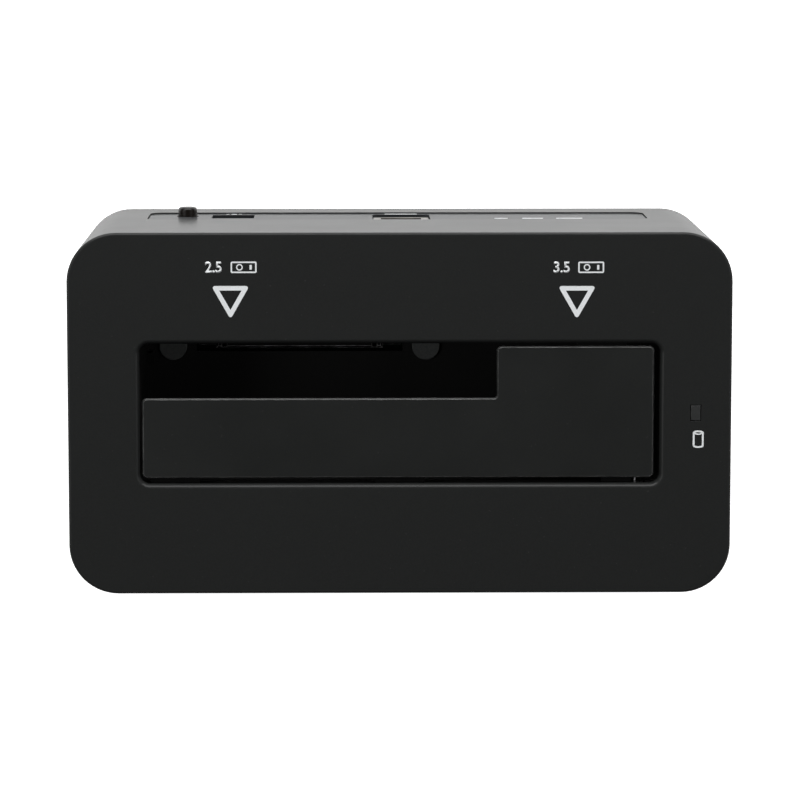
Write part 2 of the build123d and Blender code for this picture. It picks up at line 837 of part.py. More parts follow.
def dc_jack_leaf():
    """The spring leaf that touches the plug's sleeve, let into the bore's floor."""
    bottom = jack_z - jack_bore
    drop = jack_bore - math.sqrt(jack_bore**2 - (leaf_width / 2) ** 2)
    y0 = jack_face - jack_bore_depth
    return block(
        jack_x - leaf_width / 2, jack_x + leaf_width / 2, y0, y0 + leaf_long,
        bottom + drop, bottom + drop + leaf_thick,
    )


switch_width = 8.0
switch_height = 8.2
switch_long = 7.8
plunger_width = 2.6
collar_proud = 0.7
collar_thick = 0.9
button_edge_cut = 0.3
plunger_root = 4.4
collar_y = flange_y - moving_gap - collar_thick
switch_face = collar_y - button_travel - moving_gap


def switch_body():
    """The push switch on the board behind the button."""
    outline = Rectangle(switch_width, switch_height)
    level = board_top + switch_height / 2
    body = rearward(outline, button_x, level, switch_face - switch_long, switch_face)
    bore_width = plunger_width + 2 * moving_gap
    bore_end = switch_face - plunger_root - button_travel - moving_gap
    bore = rearward(Rectangle(bore_width, bore_width), button_x, button_z, bore_end, switch_face + overrun)
    return body - bore


def power_button():
    """The round cap that stands out of the rear panel, with a collar behind it."""
    cap = rearward(Circle(button_radius), button_x, button_z, collar_y, half_y + button_proud)
    cap = chamfer(cap.edges().group_by(Axis.Y)[-1], button_edge_cut)
    collar = Circle(button_radius + collar_proud)
    return cap + rearward(collar, button_x, button_z, collar_y, collar_y + collar_thick)


def switch_plunger():
    """The square plunger between the button and the switch."""
    stem = Rectangle(plunger_width, plunger_width)
    return rearward(stem, button_x, button_z, switch_face - plunger_root, collar_y)


# Components of the board, as width, depth and height
bridge_size = (7.0, 7.0, 0.9)
bridge_lead = (0.35, 0.9, 0.2)
bridge_leads = 6
bridge_lead_pitch = 1.0
flash_size = (5.0, 4.0, 1.5)
crystal_size = (3.2, 2.5, 0.8)
regulator_size = (6.5, 3.6, 1.6)
inductor_size = (6.0, 6.0, 3.0)
inductor_core = 2.4
capacitor_radius = 3.15
capacitor_high = 7.7
chip_size = (1.6, 0.8, 0.6)
chip_gap = 1.8
chip_count = 5
chip_row_shares = ((-0.34, 0.12), (-0.34, 0.24))

# Places on the board, as shares of its half width and of its depth in front of the plug
bridge_share = (0.18, 0.5)
flash_share = (0.45, 0.45)
crystal_share = (-0.06, 0.22)
regulator_share = (-0.56, 0.77)

# Places on the board, as shares of its half width and of its depth behind the plug
inductor_share = (-0.36, 0.36)
capacitor_shares = ((0.3, 0.5), (0.62, 0.5))


def package(place, size):
    """A plain moulded package on the board."""
    return upright(Rectangle(size[0], size[1]), *place, board_top, board_top + size[2])


def bridge_chip():
    """The square controller with leads on its four sides."""
    x, y = before_plug(bridge_share)
    chip = package((x, y), bridge_size)
    width, long, high = bridge_lead
    for i in range(bridge_leads):
        place = (i - (bridge_leads - 1) / 2) * bridge_lead_pitch
        reach = bridge_size[0] / 2 + long
        chip += upright(Rectangle(width, 2 * reach), x + place, y, board_top, board_top + high)
        chip += upright(Rectangle(2 * reach, width), x, y + place, board_top, board_top + high)
    return chip


def inductor():
    """The square choke with its round core."""
    x, y = behind_plug(inductor_share)
    body = package((x, y), inductor_size)
    top = board_top + inductor_size[2]
    return body - upright(Circle(inductor_core), x, y, top - inductor_size[2] / 4, top + overrun)


def capacitor(share):
    """A round can on a square base."""
    x, y = behind_plug(share)
    can = upright(Circle(capacitor_radius), x, y, board_top, board_top + capacitor_high)
    side = 2 * capacitor_radius
    return can + upright(Rectangle(side, side), x, y, board_top, board_top + bridge_size[2])


def chip_parts():
    """Two rows of small resistors and capacitors."""
    chips = []
    step = chip_size[0] + chip_gap
    for share in chip_row_shares:
        middle, y = before_plug(share)
        for i in range(chip_count):
            chips.append(package((middle + (i - (chip_count - 1) / 2) * step, y), chip_size))
    return Compound(chips)


def main_board():
    """The circuit board, with an arm that carries the status light."""
    board = block(-board_x, board_x, board_front, board_rear, board_z, board_top)
    board += block(0, arm_x, led_y - arm_width / 2, led_y + arm_width / 2, board_z, board_top)
    for x, y in screw_places:
        board -= upright(peg(board_screw_shank + screw_play), x, y, board_z - overrun, board_top + overrun)
    return board


# Screws, as head radius, head height, shank radius and length
board_screw_shank = 0.9
board_screw_head = 2.0
board_screw_high = 1.2
board_screw_length = 6.0
bay_screw_shank = 0.8
bay_screw_head = 2.2
bay_screw_high = 1.4
bay_screw_length = 5.0

pieces = {
    "upper_shell": upper_shell(),
    "bottom_cover": bottom_cover(),
    "rear_panel": rear_panel(),
    "drive_bay": drive_bay(),
    "slot_flap": slot_flap(),
    "hinge_rod": hinge_rod(),
    "flap_spring": flap_spring(),
    "light_pipe": light_pipe(),
    "status_led": status_led(),
    "main_board": main_board(),
    "sata_housing": sata_housing(),
    "sata_contacts": sata_contacts(),
    "usb_shell": usb_shell(),
    "usb_tongue": usb_tongue(),
    "usb_contacts": usb_contacts(),
    "dc_jack_body": dc_jack_body(),
    "dc_jack_pin": dc_jack_pin(),
    "dc_jack_leaf": dc_jack_leaf(),
    "switch_body": switch_body(),
    "switch_plunger": switch_plunger(),
    "power_button": power_button(),
    "bridge_chip": bridge_chip(),
    "flash_chip": package(before_plug(flash_share), flash_size),
    "crystal": package(before_plug(crystal_share), crystal_size),
    "regulator": package(before_plug(regulator_share), regulator_size),
    "inductor": inductor(),
    "chip_parts": chip_parts(),
}
for number, share in enumerate(capacitor_shares, start=1):
    pieces[f"capacitor_{number}"] = capacitor(share)
for number, (x, y) in enumerate(pad_places, start=1):
    pieces[f"shock_pad_{number}"] = shock_pad(x, y)
for number, (x, y) in enumerate(four(foot_x, foot_y), start=1):
    pieces[f"rubber_foot_{number}"] = rubber_foot(x, y)
for number, (x, y) in enumerate(four(post_x, post_y), start=1):
    seat = cup_top - cup_floor
    pieces[f"case_screw_{number}"] = screw(
        x, y, seat, screw_head, screw_head_high, post_pilot - running_gap, screw_length
    )
for number, (x, y) in enumerate(hanger_places, start=1):
    seat = ceiling_z - hanger_drop - ear_thick
    pieces[f"bay_screw_{number}"] = screw(
        x, y, seat, bay_screw_head, bay_screw_high, bay_screw_shank, bay_screw_length
    )
for number, (x, y) in enumerate(screw_places, start=1):
    pieces[f"board_screw_{number}"] = screw(
        x, y, board_top, board_screw_head, board_screw_high, board_screw_shank, board_screw_length, up=-1
    )

print("least gap of the spring to itself", round(least_gap(coil_path(), wire_radius, 1), 3), "mm")

# The origin lies under the middle of the whole dock, button included
centre = Pos(0, -button_proud / 2, 0)
os.makedirs("parts", exist_ok=True)
for name, piece in pieces.items():
    export_step(centre * piece, f"parts/{name}.step")
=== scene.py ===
# %% [markdown]
# # Dressing a hard drive dock
#
# The dock stands upright and takes a bare drive from above, through a mouth that a sprung flap closes.
# Its pieces come from a packed engineering model, which stays as it is.
# This lesson gives them their finish, and rebuilds in finer mesh the few that the eye rests on.

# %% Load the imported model
import json
import math

import bmesh
import bpy
from mathutils import Matrix, Vector

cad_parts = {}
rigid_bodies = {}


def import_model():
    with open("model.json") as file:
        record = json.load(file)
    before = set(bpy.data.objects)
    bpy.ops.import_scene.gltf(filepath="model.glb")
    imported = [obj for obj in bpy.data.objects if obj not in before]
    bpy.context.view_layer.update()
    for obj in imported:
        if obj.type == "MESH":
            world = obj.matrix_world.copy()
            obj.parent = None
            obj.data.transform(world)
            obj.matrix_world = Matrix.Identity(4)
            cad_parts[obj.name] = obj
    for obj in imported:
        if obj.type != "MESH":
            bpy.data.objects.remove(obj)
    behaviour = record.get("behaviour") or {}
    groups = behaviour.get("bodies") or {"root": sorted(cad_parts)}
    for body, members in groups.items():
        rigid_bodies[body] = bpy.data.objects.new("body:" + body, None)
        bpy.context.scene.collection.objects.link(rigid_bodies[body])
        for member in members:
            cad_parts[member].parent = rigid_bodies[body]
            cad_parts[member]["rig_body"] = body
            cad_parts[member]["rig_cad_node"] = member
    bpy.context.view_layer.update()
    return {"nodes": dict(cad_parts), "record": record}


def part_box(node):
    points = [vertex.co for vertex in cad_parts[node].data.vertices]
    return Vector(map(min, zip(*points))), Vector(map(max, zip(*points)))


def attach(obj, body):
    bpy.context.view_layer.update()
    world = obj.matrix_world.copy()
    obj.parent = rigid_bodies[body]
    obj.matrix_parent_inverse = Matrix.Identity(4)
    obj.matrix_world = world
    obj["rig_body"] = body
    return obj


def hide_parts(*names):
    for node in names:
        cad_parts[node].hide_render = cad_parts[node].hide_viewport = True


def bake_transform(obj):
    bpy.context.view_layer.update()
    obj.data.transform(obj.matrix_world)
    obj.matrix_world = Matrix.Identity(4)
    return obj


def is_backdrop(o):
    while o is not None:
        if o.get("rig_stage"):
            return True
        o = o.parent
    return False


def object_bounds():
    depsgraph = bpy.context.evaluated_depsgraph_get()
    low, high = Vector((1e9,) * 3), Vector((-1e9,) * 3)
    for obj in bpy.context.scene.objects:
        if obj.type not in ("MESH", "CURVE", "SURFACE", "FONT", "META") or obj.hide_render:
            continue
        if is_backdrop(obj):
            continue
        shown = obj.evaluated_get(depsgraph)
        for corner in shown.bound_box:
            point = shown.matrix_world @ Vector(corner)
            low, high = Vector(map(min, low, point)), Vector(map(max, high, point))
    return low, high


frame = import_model()
nodes = frame["nodes"]
mm = 0.001

# %% [markdown]
# ## The camera
#
# The picture looks down on the top face from most of a metre away. It leans a few degrees to the rear,
# so the port side shows as a thin strip at the upper edge, and less than a degree to the left.
# A short lens close by would show the side walls, so a long lens stands well back.
# The lens length follows from the distance and from how many pixels a metre covers at the top face.

# %% Place the camera
camera_distance = 0.77
lean_to_rear = math.radians(7.42)
lean_to_left = math.radians(0.8)
aim_behind_middle = 2.85 * mm
pixels_per_metre = 4980
picture_width = 800
sensor_width = 36.0
shell_low, shell_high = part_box("upper_shell")
case_top = shell_high.z
case_middle = (shell_low + shell_high) / 2
aim = Vector((case_middle.x, case_middle.y + aim_behind_middle, case_top))
backwards = Vector((-math.tan(lean_to_left), math.tan(lean_to_rear), 1.0)).normalized()
rightwards = Vector((0, 1, 0)).cross(backwards).normalized()
upwards = backwards.cross(rightwards)
eye = bpy.data.cameras.new("eye")
eye.sensor_width = sensor_width
eye.lens = sensor_width * pixels_per_metre * camera_distance / picture_width
eye.clip_start = camera_distance / 10
eye.clip_end = camera_distance * 20
camera = bpy.data.objects.new("camera", eye)
camera.location = aim + backwards * camera_distance
camera.rotation_euler = Matrix((rightwards, upwards, backwards)).transposed().to_euler()
bpy.context.scene.collection.objects.link(camera)
bpy.context.scene.camera = camera
print("lens", round(eye.lens, 1), "mm")

# %% [markdown]
# ## The table and the light
#
# The dock stands on a plain white table that fills the picture and stays white right up to its feet.
# A white floor could be lit until it is white, but its shadow would show round the case.
# A glow of its own keeps it even, and it also throws light on the upright sides from below.
# The main lamp stands behind the dock, two high ones at the sides reach down into the drive slot,
# and nothing hangs right above. So edges that face the rear shine and the black top stays dark.

# %% Helpers for node trees
def add(tree, kind, settings=None, **inputs):
    """Adds a node, sets its options, and fills or connects its inputs by name."""
    made = tree.nodes.new(kind)
    for name, value in (settings or {}).items():
        setattr(made, name, value)
    for name, value in inputs.items():
        socket = made.inputs[name.replace("_", " ")]
        if isinstance(value, bpy.types.NodeSocket):
            tree.links.new(value, socket)
        else:
            socket.default_value = value
    return made


def work_out(tree, operation, first, second=0.0, clamp=False):
    """A Math node on two numbers or sockets."""
    made = tree.nodes.new("ShaderNodeMath")
    made.operation = operation
    made.use_clamp = clamp
    for socket, value in zip(made.inputs, (first, second)):
        if isinstance(value, bpy.types.NodeSocket):
            tree.links.new(value, socket)
        else:
            socket.default_value = value
    return made.outputs[0]


def blend_colours(tree, share, first, second):
    """A colour between two colours, by a mask."""
    made = tree.nodes.new("ShaderNodeMix")
    made.data_type = "RGBA"
    for name, value in (("Factor", share), ("A", first), ("B", second)):
        socket = [s for s in made.inputs if s.name == name and s.enabled][0]
        if isinstance(value, bpy.types.NodeSocket):
            tree.links.new(value, socket)
        else:
            socket.default_value = value
    return [s for s in made.outputs if s.enabled][0]


def rgb(red, green, blue):
    """An opaque colour."""
    return (red, green, blue, 1.0)


# %% Lay the table
table_half = 4.0
table_glow = 0.95


def white_table():
    """A wide square of even white, which isn't part of the dock."""
    mesh = bpy.data.meshes.new("table")
    shape = bmesh.new()
    bmesh.ops.create_grid(shape, x_segments=1, y_segments=1, size=table_half)
    shape.to_mesh(mesh)
    shape.free()
    table = bpy.data.objects.new("table", mesh)
    bpy.context.scene.collection.objects.link(table)
    paint = bpy.data.materials.new("table white")
    paint.use_nodes = True
    surface = paint.node_tree.nodes["Principled BSDF"]
    surface.inputs["Base Color"].default_value = rgb(0.8, 0.8, 0.8)
    surface.inputs["Roughness"].default_value = 0.9
    surface.inputs["Specular IOR Level"].default_value = 0.0
    surface.inputs["Emission Color"].default_value = rgb(1.0, 1.0, 1.0)
    surface.inputs["Emission Strength"].default_value = table_glow
    mesh.materials.append(paint)
    table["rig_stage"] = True


white_table()
print("table", 2 * table_half, "m wide")

# %% Hang the lamps
def soft_lamp(name, place, aim_at, wide, high, watts):
    """A rectangular lamp that looks at a point."""
    lamp = bpy.data.lights.new(name, "AREA")
    lamp.shape = "RECTANGLE"
    lamp.size = wide
    lamp.size_y = high
    lamp.energy = watts
    holder = bpy.data.objects.new(name, lamp)
    holder.location = place
    holder.rotation_euler = (Vector(aim_at) - Vector(place)).to_track_quat("-Z", "Y").to_euler()
    bpy.context.scene.collection.objects.link(holder)


# Place, width and height in metres, then power in watts.
lamps = {
    "rear lamp": ((0.0, 1.0, 0.66), 1.6, 0.85, 23),
    "left lamp": ((-0.75, 0.1, 0.8), 0.6, 0.6, 2.3),
    "right lamp": ((0.75, 0.1, 0.8), 0.6, 0.6, 1.3),
}
for name, (place, wide, high, watts) in lamps.items():
    soft_lamp(name, place, case_middle, wide, high, watts)
room_grey = rgb(0.04, 0.04, 0.04)
sky = bpy.data.worlds.new("studio")
sky.use_nodes = True
sky.node_tree.nodes["Background"].inputs["Color"].default_value = room_grey
sky.node_tree.nodes["Background"].inputs["Strength"].default_value = 1.0
bpy.context.scene.world = sky
bpy.context.scene.view_settings.view_transform = "Standard"
print(len(lamps), "lamps")

# %% [markdown]
# ## Effects that several finishes share
#
# Moulded plastic, rubber and plated metal differ in colour, but each has a fine grain and an uneven gloss,
# and plastic also has lighter edges, which are wear on most pieces and a painted highlight on some.
# One long material could hold all of it, and each finish would then repeat it.
# A node group is a small part of a material with named inputs and outputs, so it is built once here
# and every finish below sets its own values on it.

# %% Start a node group
def start_group(name, inputs, outputs):
    """An empty shader group with named sockets."""
    group = bpy.data.node_groups.new(name, "ShaderNodeTree")
    for label, kind in inputs:
        group.interface.new_socket(label, in_out="INPUT", socket_type=kind)
    for label, kind in outputs:
        group.interface.new_socket(label, in_out="OUTPUT", socket_type=kind)
    return group, group.nodes.new("NodeGroupInput").outputs, group.nodes.new("NodeGroupOutput").inputs


number, vector = "NodeSocketFloat", "NodeSocketVector"

# %% [markdown]
# ### Moulded grain
#
# A mould for a matt case is etched, so the plastic comes out with a fine pebbled skin.
# Small round cells give the pebbles, and a finer noise over them breaks their edges.
# The height drives a bump, and the same pattern gives a slight fleck in the colour.

# %% Grain group
def make_grain():
    group, given, result = start_group(
        "moulded grain",
        [("Place", vector), ("Grain", number)],
        [("Height", number), ("Fleck", number)],
    )
    where = {"Vector": given["Place"], "Scale": given["Grain"]}
    pebbles = add(group, "ShaderNodeTexVoronoi", {"feature": "SMOOTH_F1"}, **where)
    finer = add(group, "ShaderNodeTexNoise", Detail=3.0, Roughness=0.6, **where)
    finer_share = work_out(group, "MULTIPLY", finer.outputs[0], 0.5)
    group.links.new(work_out(group, "ADD", pebbles.outputs["Distance"], finer_share), result["Height"])
    fleck = add(group, "ShaderNodeMapRange", Value=finer.outputs[0], From_Min=0.35, From_Max=0.65)
    group.links.new(fleck.outputs[0], result["Fleck"])
    return group


grain_group = make_grain()

# %% [markdown]
# ### Uneven gloss
#
# A part that has been handled, wiped and boxed isn't equally matt all over.
# Broad soft patches move the roughness between a low and a high value.
# A second, sparse pattern marks where a little dust has settled.

# %% Gloss group
dust_finer = 34.0


def make_gloss():
    group, given, result = start_group(
        "uneven gloss",
        [("Place", vector), ("Patch", number), ("Low", number), ("High", number)],
        [("Roughness", number), ("Dust", number)],
    )
    patches = add(
        group, "ShaderNodeTexNoise", Vector=given["Place"], Scale=given["Patch"], Detail=4.0, Roughness=0.55
    )
    spread = add(
        group, "ShaderNodeMapRange", Value=patches.outputs[0],
        From_Min=0.3, From_Max=0.7, To_Min=given["Low"], To_Max=given["High"],
    )
    group.links.new(spread.outputs[0], result["Roughness"])
    fine = work_out(group, "MULTIPLY", given["Patch"], dust_finer)
    specks = add(group, "ShaderNodeTexNoise", Vector=given["Place"], Scale=fine, Detail=1.0)
    lone = add(group, "ShaderNodeMapRange", Value=specks.outputs[0], From_Min=0.74, From_Max=0.8)
    group.links.new(lone.outputs[0], result["Dust"])
    return group


gloss_group = make_gloss()

# %% [markdown]
# ### Worn edges
# Corners are touched first, so their grain is rubbed smooth and catches more light. On the flap, the bay and
# the plug, the lighter edge colour is a painted highlight instead.
# Corners are touched first, so their grain is rubbed smooth and catches more light.
# Sharp edges could be found in the render, but that costs time and is lost in an exported model.
# The pieces below mark the narrow faces of their rounded edges instead, in an attribute called edge.
# This group breaks that mark up with noise, so the wear and the painted highlight come and go.

# %% Edge group
def make_edges():
    group, given, result = start_group(
        "edge wear and painted highlight",
        [("Place", vector), ("Edge", number), ("Patch", number), ("Amount", number)],
        [("Wear and highlight", number)],
    )
    noise = add(
        group, "ShaderNodeTexNoise", Vector=given["Place"], Scale=given["Patch"], Detail=4.0, Roughness=0.65
    )
    come_and_go = add(group, "ShaderNodeMapRange", Value=noise.outputs[0], From_Min=0.3, From_Max=0.65)
    marked = work_out(group, "MULTIPLY", come_and_go.outputs[0], given["Edge"])
    group.links.new(work_out(group, "MULTIPLY", marked, given["Amount"], clamp=True), result["Wear and highlight"])
    return group


edge_group = make_edges()

# %% [markdown]
# ### Drawn lines
#
# Rolled sheet and drawn wire carry fine lines along one direction.
# Noise that is stretched along that direction gives them.
# The stretch is an input, because each metal piece runs its own way.

# %% Drawn line group
def make_lines():
    group, given, result = start_group(
        "drawn lines",
        [("Place", vector), ("Stretch", vector), ("Low", number), ("High", number)],
        [("Height", number), ("Roughness", number)],
    )
    pulled = add(group, "ShaderNodeVectorMath", {"operation": "MULTIPLY"})
    group.links.new(given["Place"], pulled.inputs[0])
    group.links.new(given["Stretch"], pulled.inputs[1])
    lines = add(group, "ShaderNodeTexNoise", Vector=pulled.outputs[0], Scale=1.0, Detail=4.0, Roughness=0.7)
    group.links.new(lines.outputs[0], result["Height"])
    spread = add(
        group, "ShaderNodeMapRange", Value=lines.outputs[0],
        From_Min=0.3, From_Max=0.7, To_Min=given["Low"], To_Max=given["High"],
    )
    group.links.new(spread.outputs[0], result["Roughness"])
    return group


line_group = make_lines()
print(len(bpy.data.node_groups), "shared groups")

# %% [markdown]
# ## The finishes
#
# The case, flap, bay and button are the same black plastic with different polish,
# so one recipe makes them all.
# It reads the place on the piece in metres, so a grain of 3000 is about a third of a millimetre.
# The case and its rear panel also get a thin polished coat over a matt base. Seen nearly edge-on, the coat
# mirrors the white table, and that turns the rear wall pale grey while the top stays black.
# Below a given level the flap's colour is painted near black, as shade in the gaps round it, and its
# roughness is lower there.

# %% Recipe for moulded plastic and rubber
gloss_patches = 38.0
# The edge mark's noise scale and roughness drop, for wear and the painted highlight alike.
wear_and_highlight_patches = 400.0
wear_and_highlight_smooths = 0.12
dust_colour = rgb(0.16, 0.155, 0.145)
dust_share = 0.06
# Painted shade for the flap below a level: a near-black colour, lower roughness, and the height over which it
# fades in.
painted_gap_shade = rgb(0.003, 0.003, 0.003)
gap_shade_smoother = 0.22
gap_shade_fade = 0.2 * mm
coat_roughness = 0.12


def moulded(
    name, dark, light, low, high, grain, depth, wear_and_highlight_colour=None, wear_and_highlight=0.0,
    specular=0.5, deep=None, polish_coat=0.0,
):
    """Plastic or rubber whose colour goes from dark to light and its roughness from low to high."""
    paint = bpy.data.materials.new(name)
    paint.use_nodes = True
    tree = paint.node_tree
    surface = tree.nodes["Principled BSDF"]
    place = tree.nodes.new("ShaderNodeTexCoord").outputs["Object"]
    skin = add(tree, "ShaderNodeGroup", {"node_tree": grain_group}, Place=place, Grain=grain)
    polish = add(
        tree, "ShaderNodeGroup", {"node_tree": gloss_group},
        Place=place, Patch=gloss_patches, Low=low, High=high,
    )
    mark = tree.nodes.new("ShaderNodeAttribute")
    mark.attribute_name = "edge"
    wear_and_highlight_mask = add(
        tree, "ShaderNodeGroup", {"node_tree": edge_group},
        Place=place, Edge=mark.outputs["Fac"], Patch=wear_and_highlight_patches, Amount=wear_and_highlight,
    )
    plain = blend_colours(tree, skin.outputs["Fleck"], rgb(*dark), rgb(*light))
    settled = work_out(tree, "MULTIPLY", polish.outputs["Dust"], dust_share)
    dusty = blend_colours(tree, settled, plain, dust_colour)
    # Marked edges take the lighter colour: wear on some pieces, a painted highlight on others.
    worn_and_highlit = blend_colours(tree, wear_and_highlight_mask.outputs["Wear and highlight"], dusty, rgb(*(wear_and_highlight_colour or light)))
    smoother = work_out(tree, "MULTIPLY", wear_and_highlight_mask.outputs["Wear and highlight"], -wear_and_highlight_smooths)
    rough = work_out(tree, "ADD", polish.outputs["Roughness"], smoother)
    # Painted shade: below the given level the colour goes near black and the roughness drops.
    if deep is not None:
        height = add(tree, "ShaderNodeSeparateXYZ", Vector=place).outputs["Z"]
        below = add(
            tree, "ShaderNodeMapRange", Value=height, From_Min=deep, From_Max=deep - gap_shade_fade,
        ).outputs[0]
        worn_and_highlit = blend_colours(tree, below, worn_and_highlit, painted_gap_shade)
        rough = work_out(tree, "SUBTRACT", rough, work_out(tree, "MULTIPLY", below, gap_shade_smoother))
    tree.links.new(worn_and_highlit, surface.inputs["Base Color"])
    tree.links.new(rough, surface.inputs["Roughness"])
    bump = add(tree, "ShaderNodeBump", Height=skin.outputs["Height"], Strength=0.5, Distance=depth)
    tree.links.new(bump.outputs[0], surface.inputs["Normal"])
    surface.inputs["Specular IOR Level"].default_value = specular
    surface.inputs["Coat Weight"].default_value = polish_coat
    surface.inputs["Coat Roughness"].default_value = coat_roughness
    return paint


# %% Black plastics and rubbers
# Dark and light fleck, low and high roughness, grains per metre and their depth,
# then the edge colour and its share: wear on most pieces, a painted highlight on the flap, bay and plug.
# How far below the top face the flap's painted shade starts.
gap_shade_depth = 0.95 * mm
case_plastic = moulded(
    "case plastic", (0.0040, 0.0047, 0.0045), (0.0060, 0.0068, 0.0064), 0.7, 0.78, 3200, 0.012 * mm,
    (0.02, 0.02, 0.02), 0.5, specular=0.3, polish_coat=0.22,
)
# The flap's light edge colour is a painted highlight along its rear edges.
flap_plastic = moulded(
    "flap plastic", (0.0062, 0.0070, 0.0066), (0.0082, 0.0090, 0.0086), 0.38, 0.45, 3200, 0.012 * mm,
    (0.25, 0.25, 0.25), 0.9, deep=case_top - gap_shade_depth,
)
panel_plastic = moulded(
    "panel plastic", (0.006, 0.0072, 0.0086), (0.008, 0.0094, 0.0112), 0.72, 0.8, 4200, 0.012 * mm,
    (0.02, 0.02, 0.02), 0.4, specular=0.2, polish_coat=0.22,
)
# The bay's light edge colour is a painted highlight along the slot's edges.
bay_plastic = moulded(
    "bay plastic", (0.0075, 0.0075, 0.0072), (0.0105, 0.0105, 0.0100), 0.5, 0.62, 2600, 0.02 * mm,
    (0.2, 0.2, 0.2), 1.0,
)
button_plastic = moulded(
    "button plastic", (0.0045, 0.0034, 0.0026), (0.0065, 0.0048, 0.0037), 0.24, 0.34, 5200, 0.006 * mm,
    (0.02, 0.016, 0.013), 0.6, specular=0.3,
)
# The plug's near-white edge colour is a painted highlight on its edges and recess.
plug_plastic = moulded(
    "plug plastic", (0.006, 0.006, 0.006), (0.009, 0.009, 0.009), 0.58, 0.68, 5200, 0.008 * mm,
    (0.8, 0.8, 0.8), 1.0, specular=0.3,
)
foot_rubber = moulded(
    "foot rubber", (0.012, 0.012, 0.012), (0.022, 0.022, 0.021), 0.72, 0.85, 2400, 0.03 * mm,
    (0.035, 0.035, 0.034), 0.5,
)
pad_rubber = moulded(
    "pad rubber", (0.17, 0.18, 0.18), (0.22, 0.23, 0.228), 0.65, 0.8, 2800, 0.02 * mm,
    (0.09, 0.09, 0.09), 0.3,
)
chip_plastic = moulded(
    "chip plastic", (0.02, 0.02, 0.021), (0.032, 0.032, 0.033), 0.5, 0.6, 6000, 0.01 * mm,
)
ferrite_black = moulded(
    "ferrite", (0.045, 0.045, 0.047), (0.075, 0.075, 0.077), 0.55, 0.7, 5200, 0.02 * mm,
)
chip_tan = moulded(
    "chip tan", (0.25, 0.17, 0.09), (0.36, 0.27, 0.16), 0.4, 0.55, 7000, 0.01 * mm,
)
lamp_white = moulded(
    "lamp white", (0.62, 0.62, 0.58), (0.72, 0.72, 0.68), 0.15, 0.25, 6000, 0.004 * mm,
)
ink = moulded(
    "white ink", (0.70, 0.72, 0.73), (0.77, 0.79, 0.80), 0.55, 0.7, 5200, 0.01 * mm,
)
print(len(bpy.data.materials), "finishes so far")

# %% [markdown]
# ### Metals
#
# The spring, rod and screws are plated steel, the port is plated sheet, and the contacts are gold on copper.
# Each is a metal whose roughness follows its drawn lines. The port's colour is much darker than plating:
# painted shade for the inside of its window.

# %% Recipe for metals
dull_patches = 420.0


def metal(name, bright, dull, low, high, stretch, depth):
    """Plated or drawn metal with lines along one direction and duller patches."""
    paint = bpy.data.materials.new(name)
    paint.use_nodes = True
    tree = paint.node_tree
    surface = tree.nodes["Principled BSDF"]
    place = tree.nodes.new("ShaderNodeTexCoord").outputs["Object"]
    drawn = add(
        tree, "ShaderNodeGroup", {"node_tree": line_group}, Place=place, Stretch=stretch, Low=low, High=high
    )
    patches = add(tree, "ShaderNodeTexNoise", Vector=place, Scale=dull_patches, Detail=4.0)
    dulled = add(tree, "ShaderNodeMapRange", Value=patches.outputs[0], From_Min=0.4, From_Max=0.75)
    plated = blend_colours(tree, dulled.outputs[0], rgb(*bright), rgb(*dull))
    tree.links.new(plated, surface.inputs["Base Color"])
    tree.links.new(drawn.outputs["Roughness"], surface.inputs["Roughness"])
    bump = add(tree, "ShaderNodeBump", Height=drawn.outputs["Height"], Strength=0.4, Distance=depth)
    tree.links.new(bump.outputs[0], surface.inputs["Normal"])
    surface.inputs["Metallic"].default_value = 1.0
    return paint


spring_steel = metal(
    "spring steel", (0.62, 0.62, 0.63), (0.45, 0.45, 0.46), 0.2, 0.34, (600, 9000, 9000), 0.004 * mm
)
rod_steel = metal(
    "rod steel", (0.6, 0.6, 0.61), (0.42, 0.42, 0.43), 0.2, 0.34, (300, 9000, 9000), 0.004 * mm
)
screw_zinc = metal(
    "screw zinc", (0.55, 0.55, 0.54), (0.36, 0.36, 0.34), 0.3, 0.48, (2600, 2600, 2600), 0.006 * mm
)
# The port's dark colour is painted shade for the inside of its window.
port_metal = metal(
    "port metal", (0.2, 0.19, 0.174), (0.13, 0.124, 0.114), 0.26, 0.4, (5200, 500, 5200), 0.003 * mm
)
contact_gold = metal(
    "contact gold", (0.83, 0.6, 0.26), (0.7, 0.47, 0.18), 0.2, 0.34, (5200, 5200, 700), 0.003 * mm
)
can_metal = metal(
    "can metal", (0.7, 0.7, 0.71), (0.52, 0.52, 0.53), 0.24, 0.36, (3200, 3200, 500), 0.004 * mm
)
print(len(bpy.data.materials), "finishes with the metals")

# %% [markdown]
# ### Circuit board
#
# A board is green because of its solder mask, a thin glossy coat over copper tracks.
# The tracks stand up a little and show as a paler green, and bare pads would be silver.
# A real layout isn't needed, because only slivers of the board show through the gaps.
# A brick pattern with mixed lengths gives runs of parallel tracks that end and start again.

# %% Board finish
mask_green = rgb(0.0015, 0.010, 0.0045)
track_green = rgb(0.003, 0.02, 0.009)
track_height = 0.03 * mm


